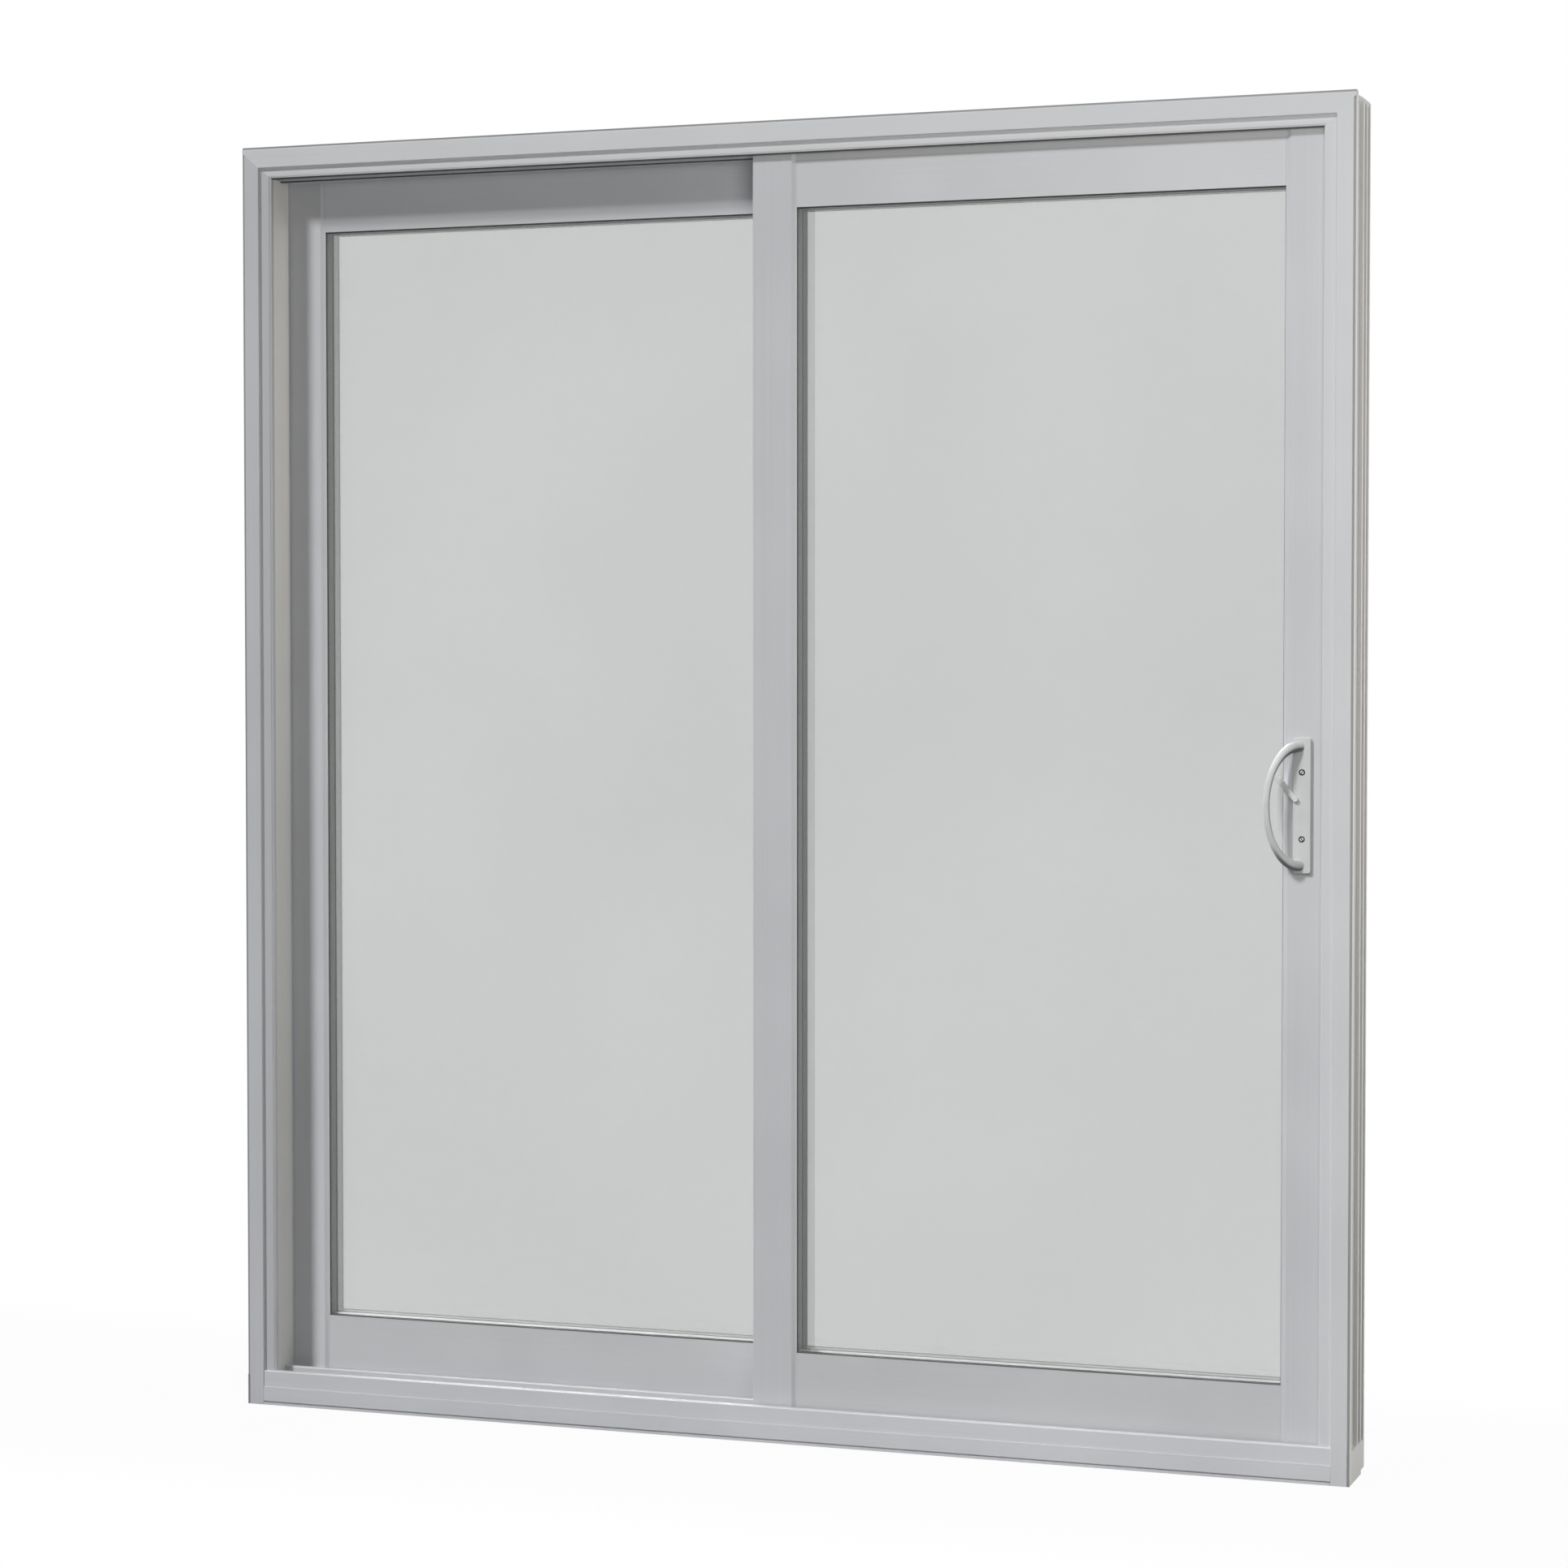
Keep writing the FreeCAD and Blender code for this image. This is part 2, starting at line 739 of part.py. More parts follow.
def latch_lever():
    """Thumb lever: a flat arm and a thicker paddle, with the spindle that turns in the plate."""
    pivot = lever_pivot()
    back = sliding_face - plate_thickness - lever_gap
    arm_front = back - lever_arm_thickness
    step_x = pivot.x - lever_length + lever_paddle_length
    tip_x = pivot.x - lever_length
    half_arm = lever_arm_width / 2
    half_paddle = lever_paddle_width / 2
    arm_points = [
        (pivot.x + half_arm, pivot.z - half_arm, lever_end_radius),
        (pivot.x + half_arm, pivot.z + half_arm, lever_end_radius),
        (step_x, pivot.z + half_arm),
        (step_x, pivot.z - half_arm),
    ]
    paddle_points = [
        (step_x, pivot.z - half_paddle, lever_step_radius),
        (step_x, pivot.z + half_paddle, lever_step_radius),
        (tip_x, pivot.z + half_paddle, lever_corner_radius),
        (tip_x, pivot.z - half_paddle, lever_corner_radius),
    ]
    spindle_start = V(pivot.x, depth_y(arm_front), pivot.z)
    spindle_length = lever_arm_thickness + lever_gap + lever_spindle_length
    lever = crosswise(arm_points, arm_front, back).fuse(
        [
            crosswise(paddle_points, back - lever_thickness, back),
            round_bar(lever_spindle_radius, spindle_start, V(0, 1, 0), spindle_length),
        ]
    )
    lever = lever.removeSplitter()
    lever.rotate(pivot, V(0, 1, 0), lever_angle)
    return lever


def faceplate():
    """Lock faceplate let into the edge of the lock stile."""
    half = faceplate_width / 2
    tall = faceplate_height / 2
    return block(
        (sliding_right - faceplate_thickness, sliding_right),
        (track_depth - half, track_depth + half),
        (handle_height - tall, handle_height + tall),
    )


def make_lock():
    """Faceplate in the stile's edge and the slotted keeper opposite it on the jamb."""
    save("lock_faceplate", faceplate())
    half = keeper_width / 2
    tall = keeper_height / 2
    x_range = (pocket_x - keeper_thickness, pocket_x)
    z_range = (handle_height - tall, handle_height + tall)
    plate = block(x_range, (track_depth - half, track_depth + half), z_range)
    slot_half = keeper_slot_width / 2
    slot = block(
        (x_range[0] - cut_margin, x_range[1] + cut_margin),
        (track_depth - slot_half, track_depth + slot_half),
        (handle_height - keeper_slot_height / 2, handle_height + keeper_slot_height / 2),
    )
    save("lock_keeper", plate.cut(slot))


def main():
    os.makedirs("parts", exist_ok=True)
    make_frame()
    make_panel("fixed", fixed_left, fixed_face, False)
    make_panel("sliding", sliding_left, sliding_face, True)
    make_interlocks()
    make_rollers()
    make_handle()
    make_lock()


main()
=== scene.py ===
import json
import math

import bmesh
import bpy
from bpy.props import FloatProperty, FloatVectorProperty, IntProperty, PointerProperty
from mathutils import Matrix, Vector


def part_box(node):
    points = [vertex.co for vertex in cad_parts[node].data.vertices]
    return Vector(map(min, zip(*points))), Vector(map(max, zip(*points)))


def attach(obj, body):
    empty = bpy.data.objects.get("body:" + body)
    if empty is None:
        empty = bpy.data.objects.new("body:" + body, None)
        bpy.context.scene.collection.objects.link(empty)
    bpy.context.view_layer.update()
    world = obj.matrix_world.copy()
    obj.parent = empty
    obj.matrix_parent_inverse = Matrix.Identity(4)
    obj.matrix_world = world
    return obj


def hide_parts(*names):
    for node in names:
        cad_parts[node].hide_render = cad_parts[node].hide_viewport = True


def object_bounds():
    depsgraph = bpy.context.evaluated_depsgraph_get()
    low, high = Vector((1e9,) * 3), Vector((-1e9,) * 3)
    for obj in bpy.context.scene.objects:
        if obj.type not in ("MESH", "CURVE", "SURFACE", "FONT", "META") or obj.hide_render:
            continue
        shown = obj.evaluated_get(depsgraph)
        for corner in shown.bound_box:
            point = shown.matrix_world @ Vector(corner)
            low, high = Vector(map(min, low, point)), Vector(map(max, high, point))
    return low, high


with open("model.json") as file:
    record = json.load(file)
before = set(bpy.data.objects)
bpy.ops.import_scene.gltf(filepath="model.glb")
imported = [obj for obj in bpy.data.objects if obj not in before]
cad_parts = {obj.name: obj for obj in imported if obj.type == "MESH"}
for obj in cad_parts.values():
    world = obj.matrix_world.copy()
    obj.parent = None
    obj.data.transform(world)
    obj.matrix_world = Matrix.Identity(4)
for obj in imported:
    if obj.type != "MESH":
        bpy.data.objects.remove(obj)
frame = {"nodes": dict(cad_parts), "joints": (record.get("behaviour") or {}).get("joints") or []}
cad_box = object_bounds()

bl_info = {
    "name": "Glass sliding patio door",
    "version": (1, 0, 0),
    "blender": (4, 5, 0),
    "location": "View3D > Sidebar > Patio Door",
    "description": "Finishes, handle set and studio stage of a two-panel sliding patio door",
    "category": "Object",
}

SIDE_FACING = Matrix.Rotation(math.radians(90), 4, "Y")
ROOM_FACING = Matrix.Rotation(math.radians(90), 4, "X")
MERGE_DISTANCE = 1e-6
CREASE_ANGLE = math.radians(35)
WHITE = (1.0, 1.0, 1.0, 1.0)
SENSOR_WIDTH_MM = 36.0
VIEW_DISTANCE = 100.0

JAMB_FLAT = 0.028
CHANNEL_DEPTH = 0.0065
RIB_FACE_DEPTH = 0.0005
HEAD_FLAT = 0.033
HEAD_LAP = 0.0505
HEAD_GUIDE_DROP = 0.053
HEAD_LIP_DEPTH = 0.015
ROOM_FACE_DEPTH = 0.0020

EDGE_LINE_WIDTH = 0.0040
GLASS_LINE_WIDTH = 0.0012
HEAD_LINE_WIDTH = 0.0018
STEP_BAND = (0.009, 0.005)
LIP_BAND = (0.0120, 0.0080)
FOOT_BAND = (0.010, 0.024)
FOOT_STRENGTH = 0.7
JAMB_SLOPE_STRENGTH = 0.5
HEAD_SLOPE_STRENGTH = 0.25
HEAD_TINT_START = -0.4
COVER_TINT_START = 0.25
# Painted light on the thumb lever, which lies in the pull's shadow, and a painted highlight on the
# paler screw heads.
LEVER_LIGHT = 1.2
SCREW_HIGHLIGHT = 1.3

FRAME_UPRIGHTS = ("fixed_jamb_stile", "fixed_meeting_stile", "fixed_interlock")
SILL_ENDS = ("left_sill_end", "right_sill_end")
SLIDING_UPRIGHTS = ("sliding_meeting_stile", "sliding_lock_stile", "sliding_interlock")
PANELS = ("fixed", "sliding")


def length(name, description, default):
    """A length in metres, as a property that the sidebar shows in the scene's units."""
    return FloatProperty(
        name=name,
        description=description,
        default=default,
        precision=5,
        subtype="DISTANCE",
        unit="LENGTH",
    )


def colour(name, description, default):
    """A colour in linear light."""
    return FloatVectorProperty(
        name=name,
        description=description,
        default=default,
        size=3,
        min=0.0,
        max=1.0,
        subtype="COLOR",
    )


def angle(name, description, degrees):
    """An angle, given in degrees."""
    return FloatProperty(
        name=name,
        description=description,
        default=math.radians(degrees),
        subtype="ANGLE",
        unit="ROTATION",
    )


def number(name, description, default, **kind):
    """A plain number, or one with the unit or subtype that is given."""
    return FloatProperty(name=name, description=description, default=default, **kind)


def power(name, description, default):
    """The power of a lamp."""
    return number(name, description, default, subtype="POWER", unit="POWER")


def tally(name, description, default, least):
    """A whole number."""
    return IntProperty(name=name, description=description, default=default, min=least)


def spot(name, description, default):
    """A place in the scene, in metres."""
    return FloatVectorProperty(
        name=name, description=description, default=default, subtype="TRANSLATION", unit="LENGTH"
    )


def direction(name, description, default):
    """A direction in which light falls."""
    return FloatVectorProperty(
        name=name, description=description, default=default, subtype="DIRECTION"
    )


class DoorSizes(bpy.types.PropertyGroup):
    """Sizes of the pieces that are modelled here"""

    pull_half_height: length(
        "Pull half height", "From the pull's middle to the centre of a foot", 0.0868
    )
    pull_sideways: length("Pull sideways reach", "How far the bow leans towards the glass", 0.0405)
    pull_outward: length("Pull outward reach", "How far the bow stands off the plate", 0.036)
    pull_foot_inset: length(
        "Pull foot inset", "From the plate's glass-side edge to the foot's centre", 0.009
    )
    pull_foot_half_width: length(
        "Foot half width", "Half of a foot's sideways size on the plate", 0.008
    )
    pull_foot_radius: length(
        "Foot half height", "Half of a foot's upright size on the plate", 0.008
    )
    pull_foot_depth: length(
        "Foot depth radius", "Half depth of the bar where it meets a foot", 0.008
    )
    pull_bar_radius: length(
        "Bar radius", "Half thickness of the bar in the plane of the bow", 0.0044
    )
    pull_bar_depth: length("Bar depth radius", "Half thickness of the bar across the bow", 0.006)
    pull_flare: tally("Flare", "How late the bar swells towards its feet", 4, 1)
    pull_rings: tally("Rings", "Cross-sections along the bow", 49, 9)
    pull_sides: tally("Sides", "Points round the bar", 40, 12)

    screw_radius: length("Screw head radius", "Heads of the two handle screws", 0.0029)
    screw_height: length("Screw head height", "From the seat to the top of the head", 0.0013)
    screw_spacing: length("Screw spacing", "Between the handle screws", 0.0974)
    seat_radius: length("Screw seat radius", "Radius of the seats in the plate", 0.00465)
    seat_depth: length("Screw seat depth", "How deep the seats lie in the plate", 0.0014)
    slot_width: length("Slot width", "Width of a screw head's slot", 0.0014)
    slot_depth: length("Slot depth", "Depth of a screw head's slot", 0.0009)
    small_screw_radius: length(
        "Small screw radius", "Countersunk heads on the lock's plates", 0.0031
    )
    small_screw_height: length("Small screw height", "How far those heads stand out", 0.0003)
    plate_screw_inset: length(
        "Plate screw inset", "From the end of a lock plate to its screw", 0.012
    )

    lever_angle: angle("Lever angle", "Rise of the thumb lever at rest, towards the glass", 49)
    lever_length: length("Lever length", "From the pivot to the tip", 0.041)
    lever_gap: length("Lever gap", "Between the plate and the lever", 0.0003)
    lever_arm_width: length("Arm width", "Width of the lever's arm", 0.0075)
    lever_arm_thickness: length("Arm thickness", "Thickness of the lever's arm", 0.0045)
    lever_end_radius: length("Arm end radius", "Rounding of the arm's end over the pivot", 0.0036)
    lever_spindle_radius: length("Spindle radius", "Spindle that turns in the plate", 0.0025)
    lever_spindle_length: length(
        "Spindle length", "How far the spindle goes into the plate", 0.0045
    )
    paddle_length: length("Paddle length", "Length of the thumb paddle", 0.012)
    paddle_width: length("Paddle width", "Width of the thumb paddle", 0.0095)
    paddle_thickness: length("Paddle thickness", "Thickness of the thumb paddle", 0.006)
    paddle_groove_depth: length("Groove depth", "Depth of the paddle's grip grooves", 0.0005)
    paddle_grooves: tally("Grooves", "Grip grooves across the paddle", 5, 1)


class DoorFinishes(bpy.types.PropertyGroup):
    """Colours of the finishes, and of the light and shade painted on them"""

    vinyl_pale: colour("Vinyl, pale", "Lightest tone of the white vinyl", (0.648, 0.660, 0.681))
    vinyl_deep: colour("Vinyl, deep", "Darkest tone of the white vinyl", (0.605, 0.617, 0.638))
    enamel_pale: colour(
        "Enamel, pale", "Lightest tone of the handle's enamel", (0.640, 0.662, 0.662)
    )
    enamel_deep: colour(
        "Enamel, deep", "Darkest tone of the handle's enamel", (0.596, 0.617, 0.617)
    )
    clear_tint: colour("Clear pane", "Tint of the room-side panes", (0.970, 0.980, 0.975))
    coat_tint: colour("Coated pane", "Tint of the coated garden-side panes", (0.642, 0.648, 0.645))
    coat_mirror: number("Coat mirror", "Share of the light that a coated face throws back", 0.42)
    glass_shade: colour("Glass shade", "Lamp light that one pane lets through", (0.88, 0.89, 0.885))
    spacer_metal: colour("Spacer", "Dark-coated spacer bar", (0.120, 0.126, 0.124))
    # Painted light: a paler tint for the spacer's level runs, whose faces catch the light.
    spacer_lit: colour("Spacer, level", "Spacer bar along the rails", (0.170, 0.175, 0.173))
    spacer_hole: colour("Spacer holes", "Breather holes of the spacer bar", (0.020, 0.020, 0.020))
    gasket_rubber: colour("Gasket", "Black glazing rubber", (0.045, 0.047, 0.046))
    gasket_bloom: colour("Gasket bloom", "Greyed rubber", (0.080, 0.083, 0.081))
    steel_pale: colour("Steel, pale", "Bright strokes of brushed steel", (0.620, 0.620, 0.625))
    steel_deep: colour("Steel, deep", "Dark strokes of brushed steel", (0.430, 0.430, 0.440))
    track_coat: colour("Track coating", "White coat on the track", (0.640, 0.645, 0.655))
    track_worn: colour("Worn track", "Greyed coat along the running edge", (0.500, 0.505, 0.515))
    roller_pale: colour("Roller, pale", "Moulded nylon, worn", (0.110, 0.110, 0.115))
    roller_deep: colour("Roller, deep", "Moulded nylon", (0.060, 0.060, 0.064))
    # Painted highlight: a pale tint on the faces of the jambs' ribs, where light catches them.
    rib_highlight: colour("Rib face", "Rubbed outer faces of the jambs", (0.930, 0.925, 0.915))
    # Painted shading: a set warm tone for the jambs' outer sides and channels, in place of the
    # light and shade that fall there.
    side_shading: colour(
        "Channel dust", "Dusty tone between the jambs' ribs", (0.700, 0.700, 0.690)
    )
    # Painted light: a paler vinyl that lifts the cast shadows under the head's lip and under its
    # step.
    painted_light_vinyl: colour(
        "Clean vinyl", "Paler vinyl at the head's lip and step", (0.800, 0.810, 0.835)
    )
    # Painted shade: a darker vinyl on the left jamb's slope and along the foot of the fixed top
    # rail.
    shaded_vinyl: colour(
        "Dull vinyl", "Duller left jamb slope and top rail foot", (0.500, 0.508, 0.528)
    )
    # Painted light: a paler, warmer tint at the top of the jamb cover, lifting the shade under the
    # head.
    cover_top_light: colour("Cover, top", "Upper end of the jamb cover", (0.870, 0.853, 0.826))
    # Painted shade: a dark line along the outer edges of the casing, where its edge rebate lies in
    # shade.
    edge_shade: colour("Edge line", "Dust along the outer edge of the casing", (0.300, 0.302, 0.308))
    # Painted shadow: a dark line where the rails meet the glass, and under the head's lip and
    # guide.
    shadow_line: colour("Glass line", "Grime where the rails meet the glass", (0.040, 0.041, 0.041))
    # Painted shade: a dark tint in the screw seats, and in the slots and round the sides of the
    # screw heads.
    seat_shade: colour("Seat grime", "Dark ring round the screws", (0.012, 0.012, 0.013))
    # Painted shade: a dark tint on the pull's downward sides, where it lies in its own shade.
    grip_shade: colour(
        "Grip grime", "Greyed underside of the room-side pull", (0.100, 0.102, 0.102)
    )
    floor: colour("Floor", "Studio floor under its white glow", (0.175, 0.175, 0.175))


class DoorStage(bpy.types.PropertyGroup):
    """Camera, lamps and floor"""

    camera_place: spot("Camera place", "Where the camera stands", (1.8711, -5.2597, 1.1958))
    camera_yaw: angle("Camera yaw", "Turn of the camera towards the fixed panel", 19.548)
    camera_pitch: angle("Camera pitch", "How far the camera looks down", 1.905)
    camera_lens: number("Focal length", "On a 36 mm square sensor", 83.25, unit="CAMERA")
    key_travel: direction("Key light travel", "How the key light falls", (0.336, 0.56, -0.577))
    key_strength: number("Key strength", "Sun strength of the key light", 2.18)
    key_softness: angle("Key softness", "Apparent size of the two distant lights", 10)
    garden_travel: direction(
        "Garden light travel", "How the light on the garden side falls", (0.35, -0.7, -0.62)
    )
    garden_strength: number("Garden strength", "Sun strength of the light on the garden side", 1.7)
    front_place: spot(
        "Front light place", "Where the soft light before the lock stile hangs", (1.3, -2.1, 1.75)
    )
    front_size: length("Front light size", "Edge of the square front light", 1.2)
    front_power: power("Front power", "Power of the front light", 16.5)
    side_place: spot(
        "Side light place", "Where the light for the frame's outer side hangs", (3.6, 0.5, 1.5)
    )
    side_size: length("Side light size", "Edge of the square side light", 0.8)
    side_power: power("Side power", "Power of the side light", 36.0)
    lamp_warmth: colour("Lamp warmth", "Colour of the front and side lights", (1.0, 0.978, 0.935))
    ambient: number("Ambient", "Even light from all round", 0.02)
    floor_reach: length("Floor reach", "Half size of the floor", 14.0)
    floor_fade: length("Floor fade", "Distance at which the floor is fully white", 0.8)
    floor_drop: length("Floor drop", "How far the floor lies below the sill", 0.0005)
    floor_white: number("Floor white", "Share of white in the floor that the camera sees", 0.97)


class Shade:
    """A shader socket, so that arithmetic written in Python becomes Math nodes"""

    def __init__(self, tree, socket=None):
        self.tree = tree
        self.socket = socket

    def node(self, kind, settings=None, sockets=None, output=0):
        """Add a node, set it up, feed its sockets and return one of its outputs"""
        made = self.tree.nodes.new(kind)
        for name, value in (settings or {}).items():
            setattr(made, name, value)
        for key, value in (sockets or {}).items():
            if isinstance(value, Shade):
                self.tree.links.new(value.socket, made.inputs[key])
            else:
                made.inputs[key].default_value = value
        return Shade(self.tree, made.outputs[output]) if made.outputs else None

    def maths(self, operation, first, second=0.0):
        """A Math node of two values"""
        return self.node("ShaderNodeMath", {"operation": operation}, {0: first, 1: second})

    def __add__(self, other):
        return self.maths("ADD", self, other)

    def __radd__(self, other):
        return self.maths("ADD", other, self)

    def __sub__(self, other):
        return self.maths("SUBTRACT", self, other)

    def __rsub__(self, other):
        return self.maths("SUBTRACT", other, self)

    def __mul__(self, other):
        return self.maths("MULTIPLY", self, other)

    def __rmul__(self, other):
        return self.maths("MULTIPLY", other, self)

    def __truediv__(self, other):
        return self.maths("DIVIDE", self, other)

    def __rtruediv__(self, other):
        return self.maths("DIVIDE", other, self)


def start_material(name):
    """A new material with an empty node tree, and a Shade that adds nodes to it."""
    material = bpy.data.materials.new(name)
    material.use_nodes = True
    material.node_tree.nodes.clear()
    return material, Shade(material.node_tree)


def noise(shade, place, scale, detail=2.0, stretch=(1.0, 1.0, 1.0)):
    """Noise on object coordinates, its cells drawn out where the stretch is small."""
    sockets = {"Vector": place, "Scale": stretch}
    drawn = shade.node("ShaderNodeMapping", {"vector_type": "POINT"}, sockets)
    sockets = {"Vector": drawn, "Scale": scale, "Detail": detail}
    return shade.node("ShaderNodeTexNoise", sockets=sockets)


def ramp(shade, value, low, high):
    """Smooth step from 0 at low to 1 at high."""
    return shade.node(
        "ShaderNodeMapRange",
        {"interpolation_type": "SMOOTHSTEP"},
        {"Value": value, "From Min": low, "From Max": high},
    )


def mixed(shade, factor, first, second):
    """Blend of two colours, each one a plain colour or a socket."""
    first, second = (c if isinstance(c, Shade) else (*c, 1.0) for c in (first, second))
    sockets = {0: factor, 6: first, 7: second}
    return shade.node("ShaderNodeMix", {"data_type": "RGBA"}, sockets, output=2)


def object_place(shade):
    """Object coordinates, and the same split into X, Y and Z."""
    place = shade.node("ShaderNodeTexCoord", output="Object")
    axes = [shade.node("ShaderNodeSeparateXYZ", sockets={0: place}, output=i) for i in range(3)]
    return place, axes


def coated(shade, base, roughness, height, depth, constants=None):
    """Principled surface with a fine bump, joined to the material's output."""
    sockets = {"Strength": 1.0, "Distance": depth, "Height": height}
    bump = shade.node("ShaderNodeBump", sockets=sockets)
    sockets = {"Base Color": base, "Roughness": roughness, "Normal": bump}
    sockets.update(constants or {})
    shader = shade.node("ShaderNodeBsdfPrincipled", sockets=sockets)
    shade.node("ShaderNodeOutputMaterial", sockets={"Surface": shader})


def vinyl_finish(finishes, name, stretch, tone, marks=()):
    """Satin white vinyl with faint drawing lines along the extrusion.

    The tone is painted light and shade: a lighter or darker, warmer or cooler copy of the vinyl for
    each member. Each mark is a mask with its tint of painted light or shade.
    """
    line_scale = 420.0
    cloud_scale = 3.5
    grain_scale = 1900.0
    relief = 0.00002
    material, shade = start_material(name)
    place, axes = object_place(shade)
    lines = noise(shade, place, line_scale, 3.0, stretch)
    cloud = noise(shade, place, cloud_scale)
    grain = noise(shade, place, grain_scale)
    deep = [part * share for part, share in zip(finishes.vinyl_deep, tone)]
    pale = [part * share for part, share in zip(finishes.vinyl_pale, tone)]
    base = mixed(shade, ramp(shade, cloud * 0.75 + lines * 0.25, 0.35, 0.65), deep, pale)
    for mask, tint in marks:
        base = mixed(shade, mask(shade, axes) * (0.7 + lines * 0.6), base, tint)
    roughness = 0.36 + lines * 0.14 + cloud * 0.06
    coated(shade, base, roughness, lines * 0.6 + grain * 0.4, relief)
    return material


def near_edge(shade, axes, reach, limit):
    """1 close to an outer edge of the frame, on its room-side face, for a painted shade line."""
    room_side = shade.maths("LESS_THAN", axes[1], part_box("head_jamb")[0].y + ROOM_FACE_DEPTH)
    return ramp(shade, reach, limit - EDGE_LINE_WIDTH, limit - EDGE_LINE_WIDTH / 2) * room_side


def jamb_edge(shade, axes):
    """1 along the outer edges of the two jambs, for a painted shade line."""
    return near_edge(shade, axes, shade.maths("ABSOLUTE", axes[0]), cad_box[1].x)


def frame_side(shade, axes, depth):
    """1 on the jambs' outer sides, as far in as the depth."""
    behind = shade.maths("GREATER_THAN", axes[1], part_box("head_jamb")[0].y + ROOM_FACE_DEPTH)
    reach = shade.maths("ABSOLUTE", axes[0])
    return shade.maths("GREATER_THAN", reach, cad_box[1].x - depth) * behind


def side_channels(shade, axes):
    """1 on the jambs' outer sides, ribs and channels alike, which take painted shading."""
    return frame_side(shade, axes, CHANNEL_DEPTH)


def rib_highlight_faces(shade, axes):
    """1 on the faces of the jambs' ribs, which take a painted highlight."""
    return frame_side(shade, axes, RIB_FACE_DEPTH)


def jamb_slope(shade, axes):
    """Part of 1 on the slopes of the two jambs, inside their flats, where painted shade darkens
    them.
    """
    reach = shade.maths("ABSOLUTE", axes[0])
    return shade.maths("LESS_THAN", reach, cad_box[1].x - JAMB_FLAT) * JAMB_SLOPE_STRENGTH


def cover_height(shade, axes):
    """0 on the lower part of the jamb cover, 1 at its top, where painted light makes it paler."""
    low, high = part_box("left_jamb_cover")
    return ramp(shade, axes[2], low.z + (high.z - low.z) * COVER_TINT_START, high.z)


def head_edge(shade, axes):
    """1 along the upper edge of the head, for a painted shade line."""
    return near_edge(shade, axes, axes[2], cad_box[1].z)


def head_step(shade, axes):
    """1 on the head's slope just under its step, a little less on the rest of the slope: painted
    light that lifts the step's cast shadow.
    """
    step = cad_box[1].z - HEAD_FLAT
    slope = shade.maths("LESS_THAN", axes[2], step)
    band = ramp(shade, axes[2], step - STEP_BAND[0], step - STEP_BAND[1])
    return slope * (HEAD_SLOPE_STRENGTH + (1.0 - HEAD_SLOPE_STRENGTH) * band)


def head_low_edges(shade, axes):
    """1 along the lower edges of the head's lip and, behind it, of its guide, for a painted shadow
    line.
    """
    behind = shade.maths("GREATER_THAN", axes[1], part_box("head_jamb")[0].y + HEAD_LIP_DEPTH)
    low = cad_box[1].z - HEAD_LAP + behind * (HEAD_LAP - HEAD_GUIDE_DROP)
    return shade.maths("LESS_THAN", axes[2], low + HEAD_LINE_WIDTH)


def head_lock_end(shade, axes):
    """0 at the head's end over the fixed panel, 1 at its end over the lock, where painted light
    makes the head paler.
    """
    return ramp(shade, axes[0], cad_box[1].x * HEAD_TINT_START, cad_box[1].x)


def under_lip(shade, axes):
    """1 at the top of the sliding panel, close under the head's lip, where painted light lifts the
    lip's cast shadow.
    """
    lip = cad_box[1].z - HEAD_LAP
    return ramp(shade, axes[2], lip - LIP_BAND[0], lip - LIP_BAND[1])


def rail_foot(shade, axes):
    """Part of 1 along the lower edge of the fixed top rail, fading upwards: painted shade."""
    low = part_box("fixed_top_rail")[0].z
    above = ramp(shade, axes[2], low + FOOT_BAND[0], low + FOOT_BAND[1])
    return FOOT_STRENGTH - FOOT_STRENGTH * above


def shadow_line(shade, axes):
    """1 along the edges of the rails that meet the glass, for a painted shadow line."""
    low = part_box("sliding_bottom_rail")[1].z - GLASS_LINE_WIDTH / 2
    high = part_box("sliding_top_rail")[0].z
    off_middle = shade.maths("ABSOLUTE", axes[2] - (low + high) / 2)
    return shade.maths("LESS_THAN", off_middle, (high - low) / 2 + GLASS_LINE_WIDTH)


def enamel_finish(finishes, name, tone=1.0, mask=None, darkening=None):
    """Satin white enamel with a soft orange-peel surface, with painted shade where its mask says
    so.
    """
    peel_scale = 520.0
    cloud_scale = 38.0
    relief = 0.00004
    material, shade = start_material(name)
    place, axes = object_place(shade)
    peel = noise(shade, place, peel_scale, 1.0)
    cloud = noise(shade, place, cloud_scale)
    deep = [part * tone for part in finishes.enamel_deep]
    pale = [part * tone for part in finishes.enamel_pale]
    base = mixed(shade, ramp(shade, cloud, 0.3, 0.7), deep, pale)
    if mask:
        base = mixed(shade, mask(shade, axes), base, darkening)
    coated(shade, base, 0.40 + peel * 0.10, peel, relief, {"Specular IOR Level": 0.3})
    return material


